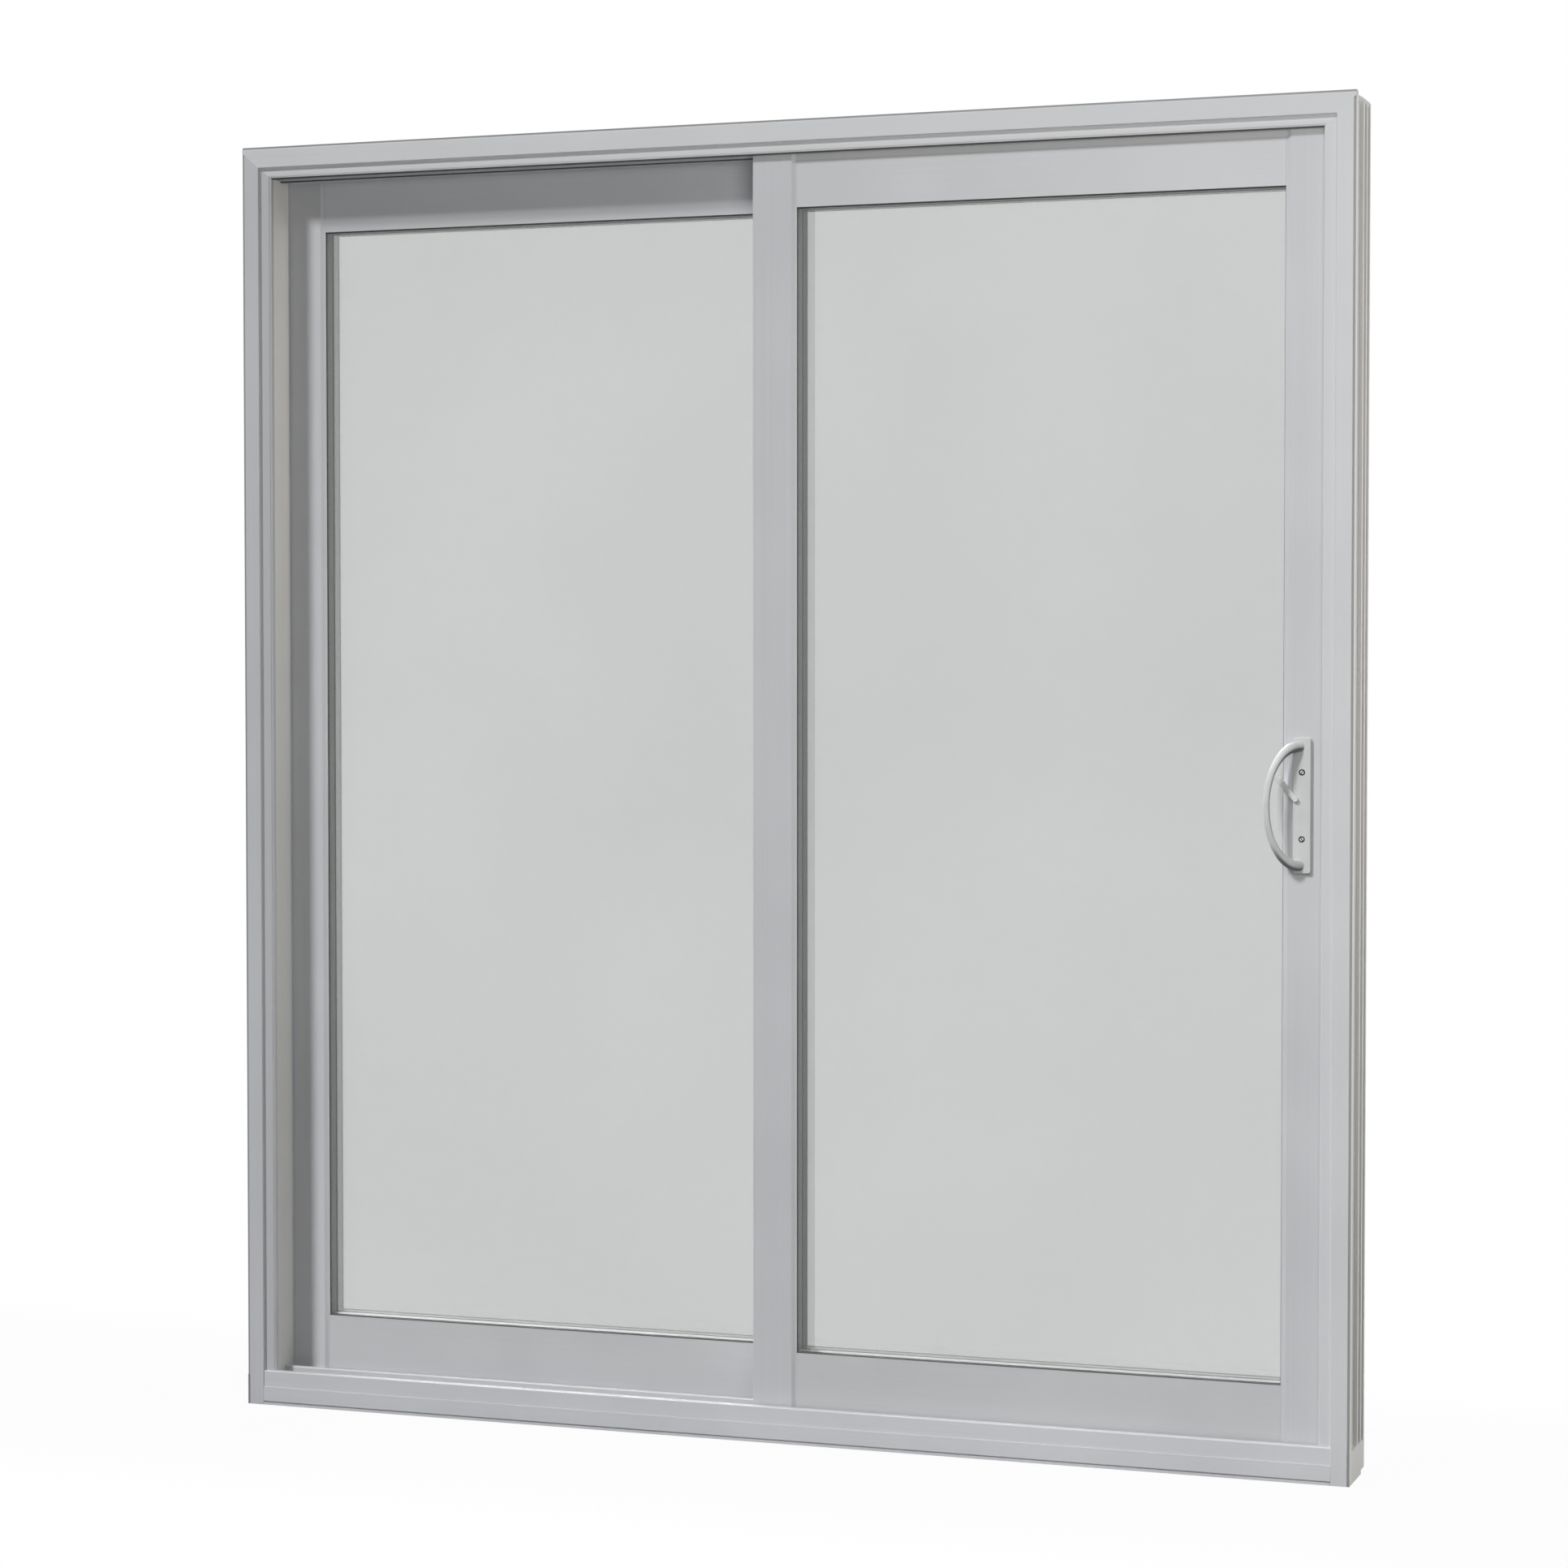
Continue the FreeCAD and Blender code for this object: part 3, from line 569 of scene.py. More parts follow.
def glass_finish(finishes, name, tint, mirror):
    """Glass with a slight tint and perhaps a reflecting coat, which lets lamp light through."""
    drift_scale = 1.4
    drift_share = 1.02
    material, shade = start_material(name)
    place, _axes = object_place(shade)
    drift = noise(shade, place, drift_scale)
    pale = tuple(min(1.0, part * drift_share) for part in tint)
    tint = mixed(shade, ramp(shade, drift, 0.3, 0.7), tint, pale)
    glass = shade.node(
        "ShaderNodeBsdfPrincipled",
        sockets={
            "Base Color": tint,
            "Metallic": mirror,
            "Roughness": 0.0,
            "IOR": 1.5,
            "Transmission Weight": 1.0,
        },
    )
    clear = shade.node("ShaderNodeBsdfTransparent", sockets={"Color": (*finishes.glass_shade, 1.0)})
    shadow = shade.node("ShaderNodeLightPath", output="Is Shadow Ray")
    surface = shade.node("ShaderNodeMixShader", sockets={0: shadow, 1: glass, 2: clear})
    shade.node("ShaderNodeOutputMaterial", sockets={"Surface": surface})
    return material


def spacer_finish(finishes, name, low, high):
    """Coated spacer bar with a row of breather holes along its middle; painted light makes it paler
    where it is level.
    """
    bar_height = 0.0082
    pitch = 0.006
    hole_radius = 0.0006
    edge = 0.00015
    stroke_scale = 900.0
    relief = 0.0002
    material, shade = start_material(name)
    place, (x, y, z) = object_place(shade)
    run = shade.maths("FRACT", (x + z) / pitch) - 0.5
    along = run * pitch
    across = y - (low.y + high.y) / 2
    off_centre = shade.maths("SQRT", along * along + across * across)
    metal = 1.0 - ramp(shade, 1.0 - off_centre / hole_radius, 0.0, edge / hole_radius)
    strokes = noise(shade, place, stroke_scale)
    off_middle = shade.maths("ABSOLUTE", z - (low.z + high.z) / 2)
    # Painted light: the level runs of the bar are paler, as their upper faces catch the light.
    is_level = shade.maths("GREATER_THAN", off_middle, (high.z - low.z) / 2 - bar_height)
    coat = mixed(shade, is_level, finishes.spacer_metal, finishes.spacer_lit)
    base = mixed(shade, metal * (0.85 + strokes * 0.3), finishes.spacer_hole, coat)
    coated(shade, base, 0.45 + strokes * 0.15, metal + strokes * 0.2, relief, {"Metallic": 0.3})
    return material


def gasket_finish(finishes):
    """Black glazing rubber, greyed in patches."""
    bloom_scale = 45.0
    grain_scale = 1600.0
    relief = 0.00003
    material, shade = start_material("glazing_rubber")
    place, _axes = object_place(shade)
    bloom = noise(shade, place, bloom_scale, 3.0)
    grain = noise(shade, place, grain_scale)
    patches = ramp(shade, bloom, 0.35, 0.7)
    base = mixed(shade, patches, finishes.gasket_rubber, finishes.gasket_bloom)
    coated(shade, base, 0.55 + bloom * 0.2, grain, relief)
    return material


def steel_finish(finishes):
    """Stainless steel brushed along the height of the door."""
    stroke_scale = 1500.0
    upright = (1.0, 1.0, 0.02)
    relief = 0.00002
    material, shade = start_material("brushed_steel")
    place, _axes = object_place(shade)
    strokes = noise(shade, place, stroke_scale, 4.0, upright)
    base = mixed(shade, ramp(shade, strokes, 0.3, 0.7), finishes.steel_deep, finishes.steel_pale)
    coated(shade, base, 0.28 + strokes * 0.16, strokes, relief, {"Metallic": 1.0})
    return material


def track_finish(finishes):
    """White coated aluminium, greyed along the edge that the rollers run on."""
    scuff_scale = 260.0
    level = (0.03, 1.0, 1.0)
    ragged = 0.002
    worn_from = 0.0030
    worn_to = 0.0010
    relief = 0.00003
    material, shade = start_material("coated_track")
    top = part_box("sill_track")[1].z
    place, (_x, _y, z) = object_place(shade)
    scuffs = noise(shade, place, scuff_scale, 4.0, level)
    worn = ramp(shade, z + (scuffs - 0.5) * ragged, top - worn_from, top - worn_to)
    base = mixed(shade, worn, finishes.track_coat, finishes.track_worn)
    coated(shade, base, 0.42 - worn * 0.14 + scuffs * 0.08, scuffs, relief)
    return material


def roller_finish(finishes):
    """Moulded dark nylon."""
    mottle_scale = 160.0
    relief = 0.00005
    material, shade = start_material("moulded_nylon")
    place, _axes = object_place(shade)
    mottle = noise(shade, place, mottle_scale, 3.0)
    base = mixed(shade, ramp(shade, mottle, 0.35, 0.7), finishes.roller_deep, finishes.roller_pale)
    coated(shade, base, 0.40 + mottle * 0.15, mottle, relief)
    return material


def dress(names, material):
    """Give CAD pieces a finish."""
    for name in names:
        for place in frame["nodes"][name].material_slots:
            place.material = material


def add_piece(name, bm, material, body):
    """Turn a bmesh into a piece that rides on a body and takes its finish from a slot."""
    bmesh.ops.remove_doubles(bm, verts=bm.verts, dist=MERGE_DISTANCE)
    bmesh.ops.recalc_face_normals(bm, faces=bm.faces)
    for face in bm.faces:
        face.smooth = True
    mesh = bpy.data.meshes.new(name)
    bm.to_mesh(mesh)
    bm.free()
    mesh.set_sharp_from_angle(angle=CREASE_ANGLE)
    mesh.materials.append(material)
    piece = bpy.data.objects.new(name, mesh)
    bpy.context.scene.collection.objects.link(piece)
    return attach(piece, body)


def ring(bm, sides, centre, first, second):
    """Oval of edges round a centre, through its two half sizes."""
    normal = first.cross(second).normalized()
    turn = Matrix((first, second, normal)).transposed().to_4x4()
    made = bmesh.ops.create_circle(
        bm, segments=sides, radius=1.0, matrix=Matrix.Translation(centre) @ turn
    )
    return list({edge for vert in made["verts"] for edge in vert.link_edges})


def pull_mesh(sizes):
    """Room-side pull: ovals along a bow that leans off the plate, bridged from foot to foot."""
    low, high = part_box("inner_handle_plate")
    middle = Vector((low.x + sizes.pull_foot_inset, low.y, (low.z + high.z) / 2))
    up = Vector((0, 0, 1))
    lean = Vector((-sizes.pull_sideways, -sizes.pull_outward, 0))
    rise = lean.length
    half = sizes.pull_half_height
    lean.normalize()
    across = lean.cross(up).normalized()
    foot_across = Vector((-sizes.pull_foot_half_width, 0, 0))
    last_turn = math.acos(sizes.pull_foot_depth * sizes.pull_sideways / rise / sizes.pull_outward)

    bm = bmesh.new()
    feet = [middle - up * half, middle + up * half]
    rings = [ring(bm, sizes.pull_sides, feet[0], foot_across, up * -sizes.pull_foot_radius)]
    for i in range(sizes.pull_rings):
        turn = last_turn * (2 * i / (sizes.pull_rings - 1) - 1)
        centre = middle + lean * (rise * math.cos(turn)) + up * (half * math.sin(turn))
        tangent = up * (half * math.cos(turn)) - lean * (rise * math.sin(turn))
        inward = tangent.cross(across).normalized()
        flare = math.sin(turn) ** sizes.pull_flare
        thin = sizes.pull_bar_radius + (sizes.pull_foot_radius - sizes.pull_bar_radius) * flare
        deep = sizes.pull_bar_depth + (sizes.pull_foot_depth - sizes.pull_bar_depth) * flare
        rings.append(ring(bm, sizes.pull_sides, centre, across * deep, inward * thin))
    rings.append(ring(bm, sizes.pull_sides, feet[1], foot_across, up * sizes.pull_foot_radius))
    for lower, upper in zip(rings, rings[1:]):
        bmesh.ops.bridge_loops(bm, edges=lower + upper)
    for end in (rings[0], rings[-1]):
        bmesh.ops.edgeloop_fill(bm, edges=end)
    return bm


def to_garden_side(bm):
    """Mirror a room-side shape through the middle of the sliding panel's thickness."""
    low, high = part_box("sliding_lock_stile")
    middle = Vector((0, (low.y + high.y) / 2, 0))
    flip = Matrix.Scale(-1, 4, Vector((0, 1, 0)))
    about_middle = Matrix.Translation(middle) @ flip @ Matrix.Translation(-middle)
    bmesh.ops.transform(bm, matrix=about_middle, verts=bm.verts)


def slotted_head(radius, height, slot_width, slot_depth, place):
    """Screw head with a rounded rim and a slot across it, seated at the place and facing its +Z."""
    sides = 40
    rim_share = 0.6
    bm = bmesh.new()
    lift = Matrix.Translation((0, 0, height / 2))
    bmesh.ops.create_cone(
        bm, cap_ends=True, segments=sides, radius1=radius, radius2=radius, depth=height, matrix=lift
    )
    rim = [edge for edge in bm.edges if all(vert.co.z > height / 2 for vert in edge.verts)]
    bmesh.ops.bevel(
        bm,
        geom=rim,
        offset=height * rim_share,
        affect="EDGES",
        segments=4,
        profile=0.5,
        material=-1,
    )
    for side in (-1, 1):
        bmesh.ops.bisect_plane(
            bm,
            geom=[*bm.verts, *bm.edges, *bm.faces],
            plane_co=(side * slot_width / 2, 0, 0),
            plane_no=(1, 0, 0),
        )
    strip = [
        face
        for face in bm.faces
        if abs(face.calc_center_median().x) < slot_width / 2 and face.normal.z > 0.5
    ]
    sunk = bmesh.ops.extrude_face_region(bm, geom=strip)["geom"]
    floor = [item for item in sunk if isinstance(item, bmesh.types.BMVert)]
    bmesh.ops.translate(bm, vec=(0, 0, -slot_depth), verts=floor)
    left_over = [face for face in strip if face.is_valid]
    bmesh.ops.delete(bm, geom=left_over, context="FACES")
    bmesh.ops.transform(bm, matrix=place, verts=bm.verts)
    return bm


def screw_set(places, radius, height, slot_width, slot_depth):
    """Several slotted heads in one mesh."""
    together = bmesh.new()
    for place in places:
        head = slotted_head(radius, height, slot_width, slot_depth, place)
        mesh = bpy.data.meshes.new("screw_head")
        head.to_mesh(mesh)
        head.free()
        together.from_mesh(mesh)
        bpy.data.meshes.remove(mesh)
    return together


def plain_block(bm, low, high):
    """Box between two corners, as its edges."""
    low = Vector(low)
    high = Vector(high)
    size = Matrix.Diagonal((*(high - low), 1.0))
    made = bmesh.ops.create_cube(bm, size=1.0, matrix=Matrix.Translation((low + high) / 2) @ size)
    return list({edge for vert in made["verts"] for edge in vert.link_edges})


def rounded_block(bm, low, high, radius, segments=3):
    """Box between two corners with rounded edges."""
    bmesh.ops.bevel(
        bm,
        geom=plain_block(bm, low, high),
        offset=radius,
        affect="EDGES",
        segments=segments,
        profile=0.5,
        material=-1,
    )


def is_upright(edge):
    """Whether an edge runs along Z."""
    first, second = edge.verts
    return (first.co - second.co).to_2d().length < MERGE_DISTANCE


def lever_mesh(sizes):
    """Thumb lever along +X from its pivot, facing +Z: spindle, round-ended arm, grooved paddle."""
    edge = 0.0006
    land_rounding = 0.4
    bm = bmesh.new()
    half_arm = sizes.lever_arm_width / 2
    half_paddle = sizes.paddle_width / 2
    step = sizes.lever_length - sizes.paddle_length
    arm_end = (step + edge, half_arm, sizes.lever_arm_thickness)
    arm = plain_block(bm, (-half_arm, -half_arm, 0), arm_end)
    corners = [e for e in arm if all(v.co.x < 0 for v in e.verts) and is_upright(e)]
    bmesh.ops.bevel(
        bm,
        geom=corners,
        offset=sizes.lever_end_radius,
        affect="EDGES",
        segments=10,
        profile=0.5,
        material=-1,
    )
    rim = [e for e in bm.edges if all(v.co.z > half_arm / 2 for v in e.verts)]
    bmesh.ops.bevel(bm, geom=rim, offset=edge, affect="EDGES", segments=3, profile=0.5, material=-1)
    spindle_depth = sizes.lever_gap + sizes.lever_spindle_length
    bmesh.ops.create_cone(
        bm,
        cap_ends=True,
        segments=32,
        radius1=sizes.lever_spindle_radius,
        radius2=sizes.lever_spindle_radius,
        depth=spindle_depth + edge,
        matrix=Matrix.Translation((0, 0, (edge - spindle_depth) / 2)),
    )
    land = sizes.paddle_length / (2 * sizes.paddle_grooves + 1)
    groove_floor = sizes.paddle_thickness - sizes.paddle_groove_depth
    paddle_end = (sizes.lever_length, half_paddle, groove_floor)
    rounded_block(bm, (step, -half_paddle, 0), paddle_end, edge)
    for i in range(sizes.paddle_grooves + 1):
        start = step + 2 * i * land
        rounded_block(
            bm,
            (start, -half_paddle + edge, groove_floor - edge),
            (start + land, half_paddle - edge, sizes.paddle_thickness),
            sizes.paddle_groove_depth * land_rounding,
            2,
        )
    return bm


class DOOR_OT_vinyl(bpy.types.Operator):
    """Finish the frame, the stiles and the rails in white vinyl"""

    bl_idname = "door.vinyl"
    bl_label = "Finish vinyl members"

    def execute(self, context):
        finishes = context.scene.door_finishes
        upright = (1.0, 1.0, 0.004)
        level = (0.004, 1.0, 1.0)
        # Painted shade and light on the jambs: a shade line along their outer edges, painted
        # shading on their outer sides and channels, and a painted highlight on their rib faces.
        casing_marks = (
            (jamb_edge, finishes.edge_shade),
            (side_channels, finishes.side_shading),
            (rib_highlight_faces, finishes.rib_highlight),
        )
        # Painted shade on the jambs' slopes, deeper on the left jamb than on the right.
        left_marks = ((jamb_slope, finishes.shaded_vinyl), *casing_marks)
        right_marks = ((jamb_slope, finishes.vinyl_deep), *casing_marks)
        at_glass = (shadow_line, finishes.shadow_line)
        # Painted light on the top of the sliding panel, under the head's lip.
        lip_shadow_lift = (under_lip, finishes.painted_light_vinyl)
        top_marks = (lip_shadow_lift, at_glass)
        # Painted shade along the foot of the fixed top rail.
        foot = (rail_foot, finishes.shaded_vinyl)
        cover_light = (cover_height, finishes.cover_top_light)
        # Painted light and shade on the head: paler towards the lock end and under its step, a
        # shade line along its top edge and shadow lines under its lip and guide.
        head_marks = (
            (head_lock_end, finishes.vinyl_pale),
            (head_step, finishes.painted_light_vinyl),
            (head_edge, finishes.edge_shade),
            (head_low_edges, finishes.shadow_line),
        )
        # Each member's tone is painted light and shade, a lighter or darker, warmer or cooler copy
        # of the vinyl, and each mark paints light or shade.
        for nodes, name, stretch, tone, *marks in (
            (FRAME_UPRIGHTS, "upright_vinyl", upright, (1.00, 1.00, 1.01)),
            (SILL_ENDS, "sill_end_vinyl", upright, (1.28, 1.26, 1.20)),
            (SLIDING_UPRIGHTS, "sliding_stile_vinyl", upright, (0.95, 0.95, 0.96), lip_shadow_lift),
            (["fixed_bottom_rail"], "fixed_rail_vinyl", level, (0.97, 0.97, 0.97), at_glass),
            (["sliding_top_rail"], "sliding_rail_vinyl", level, (1.00, 1.00, 1.00), *top_marks),
            (["fixed_top_rail"], "high_rail_vinyl", level, (1.19, 1.19, 1.21), foot, at_glass),
            (["sliding_bottom_rail"], "low_rail_vinyl", level, (0.93, 0.93, 0.93), at_glass),
            (["sill"], "sill_vinyl", level, (1.06, 1.06, 1.07)),
            (["left_jamb_cover"], "cover_vinyl", upright, (1.04, 1.01, 0.96), cover_light),
            (["left_jamb"], "left_jamb_vinyl", upright, (0.96, 0.96, 0.97), *left_marks),
            (["right_jamb"], "right_jamb_vinyl", upright, (1.04, 1.04, 1.04), *right_marks),
            (["head_jamb"], "head_vinyl", level, (1.13, 1.13, 1.13), *head_marks),
        ):
            dress(nodes, vinyl_finish(finishes, name, stretch, tone, marks))
        return {"FINISHED"}


class DOOR_OT_glazing(bpy.types.Operator):
    """Finish the panes, spacer bars and glazing rubbers of both panels"""

    bl_idname = "door.glazing"
    bl_label = "Finish glazing"

    def execute(self, context):
        finishes = context.scene.door_finishes
        clear = glass_finish(finishes, "clear_glass", finishes.clear_tint, 0.0)
        coat = glass_finish(finishes, "coated_glass", finishes.coat_tint, finishes.coat_mirror)
        rubber = gasket_finish(finishes)
        for panel in PANELS:
            dress([panel + "_inner_glass"], clear)
            dress([panel + "_outer_glass"], coat)
            dress([panel + "_inner_gasket", panel + "_outer_gasket"], rubber)
            bar = panel + "_spacer"
            dress([bar], spacer_finish(finishes, bar + "_bar", *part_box(bar)))
        return {"FINISHED"}


class DOOR_OT_running_gear(bpy.types.Operator):
    """Finish the track, the rollers and the lock's steel plates"""

    bl_idname = "door.running_gear"
    bl_label = "Finish track, rollers and lock"

    def execute(self, context):
        finishes = context.scene.door_finishes
        dress(["sill_track"], track_finish(finishes))
        dress(["roller_wheels"], roller_finish(finishes))
        dress(["lock_keeper", "lock_faceplate", "roller_carriages"], steel_finish(finishes))
        return {"FINISHED"}


class DOOR_OT_handles(bpy.types.Operator):
    """Model both pulls and finish the handle plates"""

    bl_idname = "door.handles"
    bl_label = "Model handles"

    def execute(self, context):
        sizes = context.scene.door_sizes
        finishes = context.scene.door_finishes
        enamel = enamel_finish(finishes, "handle_enamel")
        dress(["outer_handle_plate"], enamel)
        plate = enamel_finish(finishes, "plate_enamel", 1.0, self.seat_mask, finishes.seat_shade)
        dress(["inner_handle_plate"], plate)
        grip = enamel_finish(finishes, "grip_enamel", 1.0, self.grip_shade_mask, finishes.grip_shade)
        room_pull = add_piece("room_pull", pull_mesh(sizes), grip, "sliding_panel")
        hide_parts("inner_pull")
        bm = pull_mesh(sizes)
        to_garden_side(bm)
        garden_pull = add_piece("garden_pull", bm, enamel, "sliding_panel")
        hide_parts("outer_pull")
        return {"FINISHED"}

    def seat_mask(self, shade, axes):
        """1 inside the two screw seats of the room-side plate, which take painted shade."""
        sizes = bpy.context.scene.door_sizes
        low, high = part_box("inner_handle_plate")
        middle = (low + high) / 2
        across = axes[0] - middle.x
        along = shade.maths("ABSOLUTE", axes[2] - middle.z) - sizes.screw_spacing / 2
        off_centre = shade.maths("SQRT", across * across + along * along)
        return shade.maths("LESS_THAN", off_centre, sizes.seat_radius)

    def grip_shade_mask(self, shade, axes):
        """Nearly 1 on the bow's downward sides, inside its upper part and under its lower foot,
        which take painted shade
        """
        bow_inside = (0.0, 0.09)
        upper_part = (-0.8, 0.0)
        foot_outside = (0.05, 0.13)
        lower_end = (0.6, 0.95)
        strength = 0.85
        sizes = bpy.context.scene.door_sizes
        low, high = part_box("inner_handle_plate")
        rise = math.hypot(sizes.pull_sideways, sizes.pull_outward)
        sideways = (low.x + sizes.pull_foot_inset - axes[0]) * (sizes.pull_sideways / rise ** 2)
        outward = (low.y - axes[1]) * (sizes.pull_outward / rise ** 2)
        lean = sideways + outward
        height = (axes[2] - (low.z + high.z) / 2) / sizes.pull_half_height
        inside = 1.0 - lean * lean - height * height
        inner = ramp(shade, inside, *bow_inside) * ramp(shade, height, *upper_part)
        under = ramp(shade, 0.0 - inside, *foot_outside) * ramp(shade, 0.0 - height, *lower_end)
        return shade.maths("MAXIMUM", inner, under) * strength


class DOOR_OT_latch(bpy.types.Operator):
    """Model the thumb lever that turns the latch"""

    bl_idname = "door.latch"
    bl_label = "Model latch lever"

    def execute(self, context):
        sizes = context.scene.door_sizes
        pivot = Vector(next(j for j in frame["joints"] if j["name"] == "latch_turn")["pos_m"])
        outward = Vector((0, -1, 0))
        along = Vector((-math.cos(sizes.lever_angle), 0, math.sin(sizes.lever_angle)))
        turn = Matrix((along, outward.cross(along), outward)).transposed().to_4x4()
        bm = lever_mesh(sizes)
        seat = Matrix.Translation(pivot + outward * sizes.lever_gap)
        bmesh.ops.transform(bm, matrix=seat @ turn, verts=bm.verts)
        enamel = enamel_finish(context.scene.door_finishes, "lever_enamel", LEVER_LIGHT)
        lever = add_piece("thumb_lever", bm, enamel, "latch")
        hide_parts("latch_lever")
        return {"FINISHED"}


class DOOR_OT_screws(bpy.types.Operator):
    """Model the slotted screws of the handle plate and of the lock's plates"""

    bl_idname = "door.screws"
    bl_label = "Model screws"

    def execute(self, context):
        sizes = context.scene.door_sizes
        steel = bpy.data.materials["brushed_steel"]
        low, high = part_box("inner_handle_plate")
        seat = Vector(((low.x + high.x) / 2, low.y + sizes.seat_depth, (low.z + high.z) / 2))
        turns = (math.radians(28), math.radians(-35))
        places = []
        for side, turn in zip((-1, 1), turns):
            centre = seat + Vector((0, 0, side * sizes.screw_spacing / 2))
            places.append(Matrix.Translation(centre) @ ROOM_FACING @ Matrix.Rotation(turn, 4, "Z"))
        slot = (sizes.slot_width, sizes.slot_depth)
        bm = screw_set(places, sizes.screw_radius, sizes.screw_height, *slot)
        finishes = context.scene.door_finishes
        # Painted shade in the slots and round the sides of the screw heads.
        darkening = finishes.seat_shade
        enamel = enamel_finish(finishes, "screw_enamel", SCREW_HIGHLIGHT, self.slot_mask, darkening)
        add_piece("handle_screws", bm, enamel, "sliding_panel")
        self.plate_screws(sizes, "lock_faceplate", 1, "sliding_panel", steel)
        self.plate_screws(sizes, "lock_keeper", -1, "frame", steel)
        return {"FINISHED"}

    def slot_mask(self, shade, axes):
        """1 below the tops of the screw heads, in their slots and round their sides, which take
        painted shade
        """
        sizes = bpy.context.scene.door_sizes
        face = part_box("inner_handle_plate")[0].y
        return shade.maths("GREATER_THAN", axes[1], face + sizes.slot_depth / 2)

    def plate_screws(self, sizes, plate, facing, body, steel):
        """Two small screws near the ends of a lock plate"""
        slot_share = 0.8
        low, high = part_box(plate)
        face = high.x if facing > 0 else low.x
        turn = SIDE_FACING if facing > 0 else SIDE_FACING.inverted()
        places = []
        for z in (low.z + sizes.plate_screw_inset, high.z - sizes.plate_screw_inset):
            places.append(Matrix.Translation((face, (low.y + high.y) / 2, z)) @ turn)
        height = sizes.small_screw_height
        slot = (sizes.slot_width, height * slot_share)
        bm = screw_set(places, sizes.small_screw_radius, height, *slot)
        add_piece(plate + "_screws", bm, steel, body)


class DOOR_OT_stage(bpy.types.Operator):
    """Set up the floor, the lamps, the white surroundings and the camera"""

    bl_idname = "door.stage"
    bl_label = "Set up stage"

    def execute(self, context):
        stage = context.scene.door_stage
        self.lay_floor(context.scene, stage)
        self.hang_lamps(context.scene, stage)
        self.light_world(context.scene, stage)
        self.stand_camera(context.scene, stage)
        context.scene.view_settings.view_transform = "Standard"
        return {"FINISHED"}

    def seen_directly(self, shade):
        """1 for rays from the camera, from gloss and through glass, 0 for light that bounces"""
        rays = [
            shade.node("ShaderNodeLightPath", output=name)
            for name in ("Is Camera Ray", "Is Glossy Ray", "Is Transmission Ray")
        ]
        return shade.maths("MAXIMUM", shade.maths("MAXIMUM", rays[0], rays[1]), rays[2])

    def lay_floor(self, scene, stage):
        """Pale floor that stays nearly white to the eye and keeps the door's shadow"""
        bm = bmesh.new()
        bmesh.ops.create_grid(bm, x_segments=1, y_segments=1, size=stage.floor_reach)
        bmesh.ops.translate(bm, vec=(0, 0, -stage.floor_drop), verts=bm.verts)
        mesh = bpy.data.meshes.new("studio_floor")
        bm.to_mesh(mesh)
        bm.free()
        material, shade = start_material("studio_floor")
        grey = (*scene.door_finishes.floor, 1.0)
        paint = shade.node("ShaderNodeBsdfDiffuse", sockets={"Color": grey})
        glow = shade.node("ShaderNodeEmission", sockets={"Color": WHITE, "Strength": 1.0})
        _place, (_x, y, _z) = object_place(shade)
        away = ramp(shade, shade.maths("ABSOLUTE", y), stage.floor_fade / 4, stage.floor_fade)
        white = stage.floor_white + away * (1.0 - stage.floor_white)
        share = self.seen_directly(shade) * white
        surface = shade.node("ShaderNodeMixShader", sockets={0: share, 1: paint, 2: glow})
        shade.node("ShaderNodeOutputMaterial", sockets={"Surface": surface})
        mesh.materials.append(material)
        floor = bpy.data.objects.new("studio_floor", mesh)
        scene.collection.objects.link(floor)

    def hang_lamps(self, scene, stage):
        """Soft suns from the upper left and on the garden side, warm lamps at the right"""
        self.hang_sun(scene, stage, "key", stage.key_travel, stage.key_strength)
        self.hang_sun(scene, stage, "garden", stage.garden_travel, stage.garden_strength)
        for name, place, size, watts in (
            ("front", stage.front_place, stage.front_size, stage.front_power),
            ("side", stage.side_place, stage.side_size, stage.side_power),
        ):
            self.hang_square(scene, stage, name, place, size, watts)

    def hang_sun(self, scene, stage, name, travel, strength):
        """Distant light that falls along a direction"""
        light = bpy.data.lights.new(name, "SUN")
        light.energy = strength
        light.angle = stage.key_softness
        lamp = bpy.data.objects.new(name, light)
        lamp.rotation_euler = Vector(travel).to_track_quat("-Z", "Y").to_euler()
        scene.collection.objects.link(lamp)

    def hang_square(self, scene, stage, name, place, size, watts):
        """Warm square lamp that faces the middle of the door"""
        light = bpy.data.lights.new(name, "AREA")
        light.energy = watts
        light.color = stage.lamp_warmth
        light.shape = "SQUARE"
        light.size = size
        lamp = bpy.data.objects.new(name, light)
        lamp.location = place
        aim = (cad_box[0] + cad_box[1]) / 2 - Vector(place)
        lamp.rotation_euler = aim.to_track_quat("-Z", "Y").to_euler()
        lamp.visible_transmission = False
        scene.collection.objects.link(lamp)

    def light_world(self, scene, stage):
        """Even ambient light, white where it is seen"""
        world = bpy.data.worlds.new("studio")
        world.use_nodes = True
        world.node_tree.nodes.clear()
        shade = Shade(world.node_tree)
        sockets = {"Color": WHITE, "Strength": stage.ambient}
        soft = shade.node("ShaderNodeBackground", sockets=sockets)
        bright = shade.node("ShaderNodeBackground", sockets={"Color": WHITE, "Strength": 1.0})
        seen = self.seen_directly(shade)
        surface = shade.node("ShaderNodeMixShader", sockets={0: seen, 1: soft, 2: bright})
        shade.node("ShaderNodeOutputWorld", sockets={"Surface": surface})
        scene.world = world

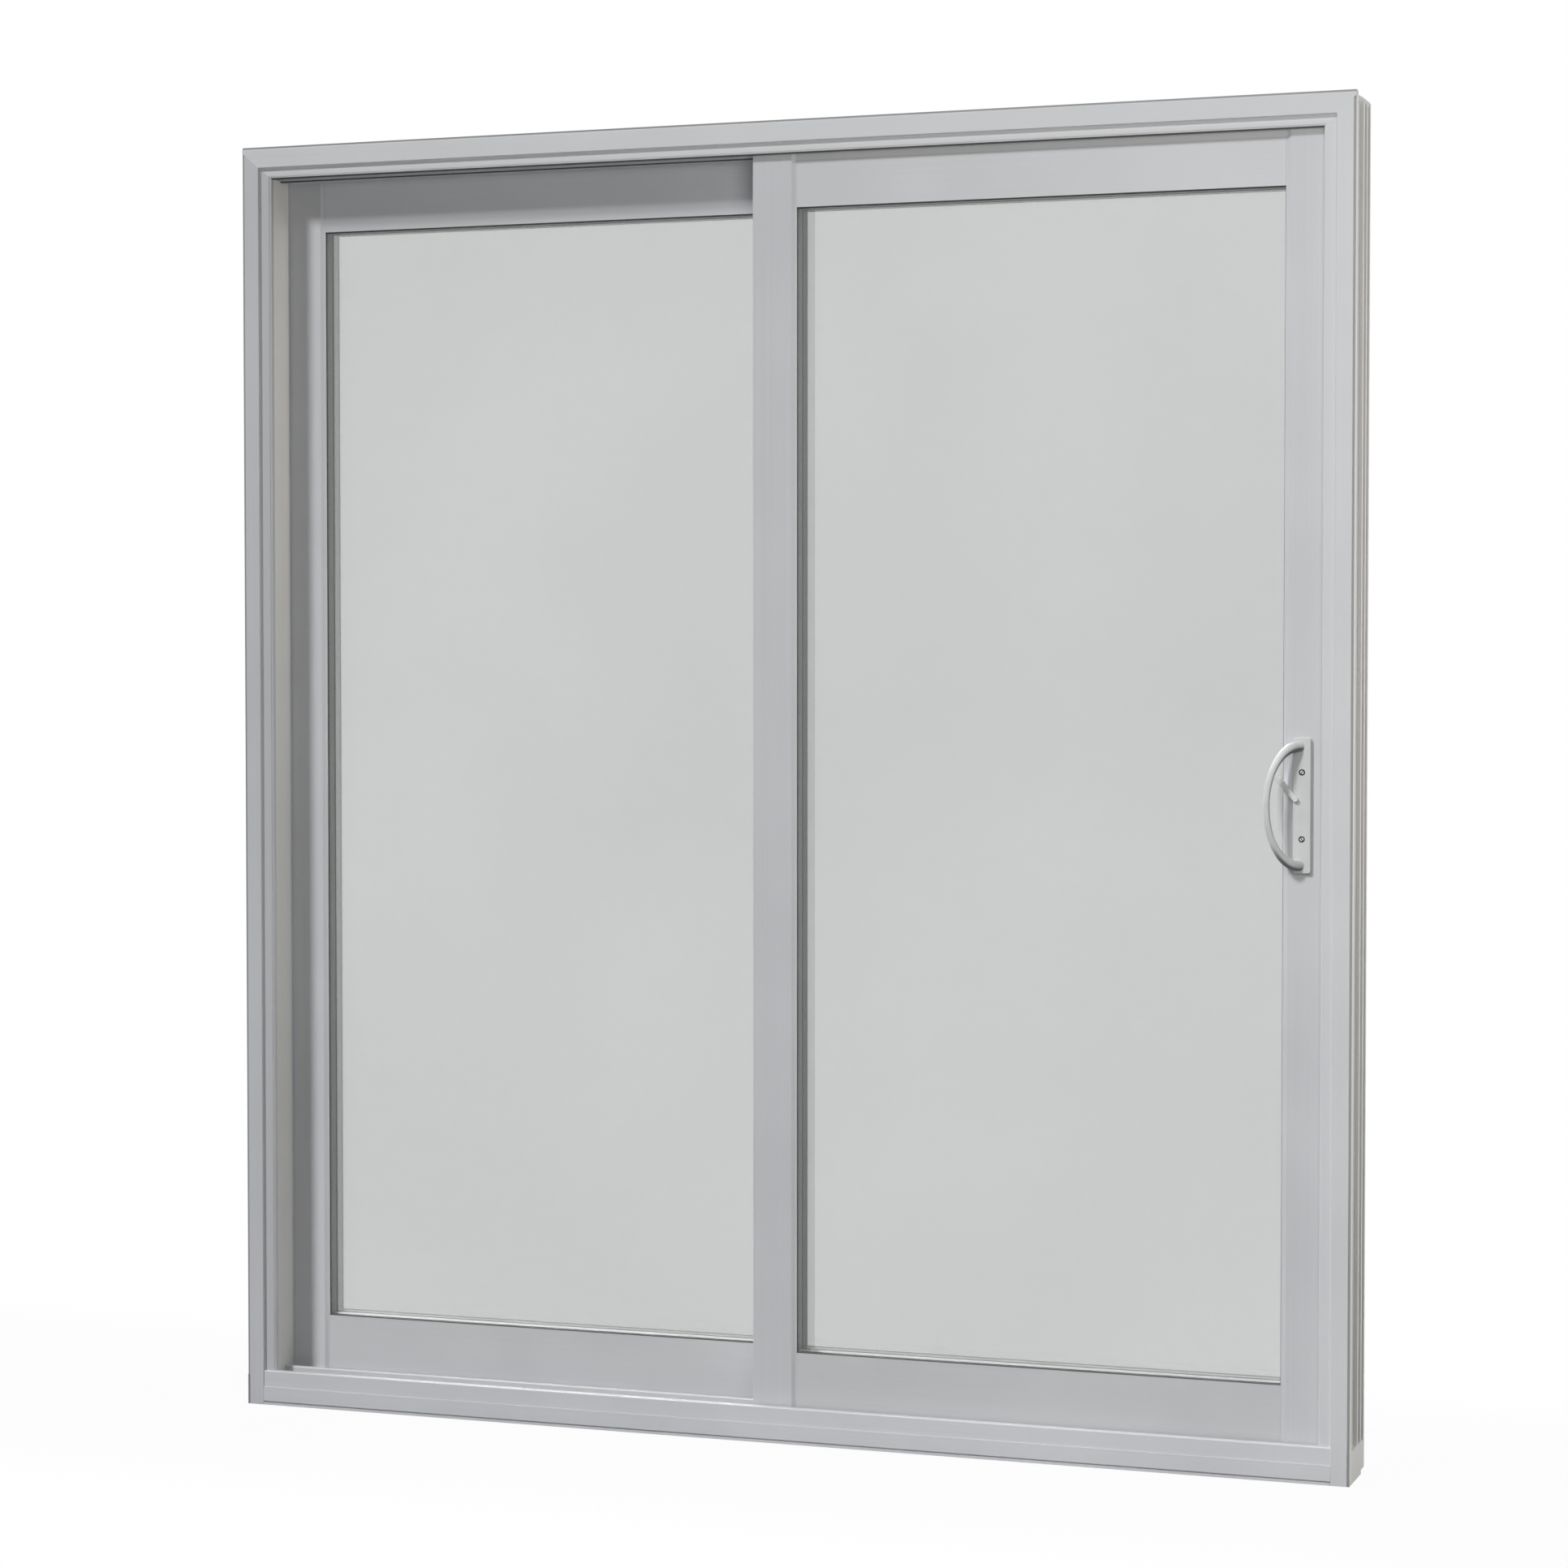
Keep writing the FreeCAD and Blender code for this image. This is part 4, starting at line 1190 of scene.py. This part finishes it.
    def stand_camera(self, scene, stage):
        """Camera at the product picture's place, level and turned towards the fixed panel"""
        camera = bpy.data.cameras.new("camera")
        camera.sensor_fit = "HORIZONTAL"
        camera.sensor_width = SENSOR_WIDTH_MM
        camera.lens = stage.camera_lens
        camera.clip_end = VIEW_DISTANCE
        standing = bpy.data.objects.new("camera", camera)
        standing.location = stage.camera_place
        standing.rotation_euler = (math.radians(90) - stage.camera_pitch, 0.0, stage.camera_yaw)
        scene.collection.objects.link(standing)
        scene.camera = standing


class DOOR_PT_sidebar(bpy.types.Panel):
    """The door's pieces, finishes and stage"""

    bl_idname = "DOOR_PT_sidebar"
    bl_label = "Patio Door"
    bl_space_type = "VIEW_3D"
    bl_region_type = "UI"
    bl_category = "Patio Door"

    def draw(self, context):
        for operator in OPERATORS:
            self.layout.operator(operator.bl_idname)
        scene = context.scene
        for group in (scene.door_sizes, scene.door_finishes, scene.door_stage):
            box = self.layout.box()
            for name in group.__annotations__:
                box.prop(group, name)


OPERATORS = (
    DOOR_OT_vinyl,
    DOOR_OT_glazing,
    DOOR_OT_running_gear,
    DOOR_OT_handles,
    DOOR_OT_latch,
    DOOR_OT_screws,
    DOOR_OT_stage,
)
CLASSES = (DoorSizes, DoorFinishes, DoorStage, *OPERATORS, DOOR_PT_sidebar)


def register():
    for item in CLASSES:
        bpy.utils.register_class(item)
    bpy.types.Scene.door_sizes = PointerProperty(type=DoorSizes)
    bpy.types.Scene.door_finishes = PointerProperty(type=DoorFinishes)
    bpy.types.Scene.door_stage = PointerProperty(type=DoorStage)


def unregister():
    del bpy.types.Scene.door_stage
    del bpy.types.Scene.door_finishes
    del bpy.types.Scene.door_sizes
    for item in reversed(CLASSES):
        bpy.utils.unregister_class(item)


def main():
    register()
    bpy.ops.door.vinyl()
    bpy.ops.door.glazing()
    bpy.ops.door.running_gear()
    bpy.ops.door.handles()
    bpy.ops.door.latch()
    bpy.ops.door.screws()
    bpy.ops.door.stage()


if __name__ == "__main__":
    main()
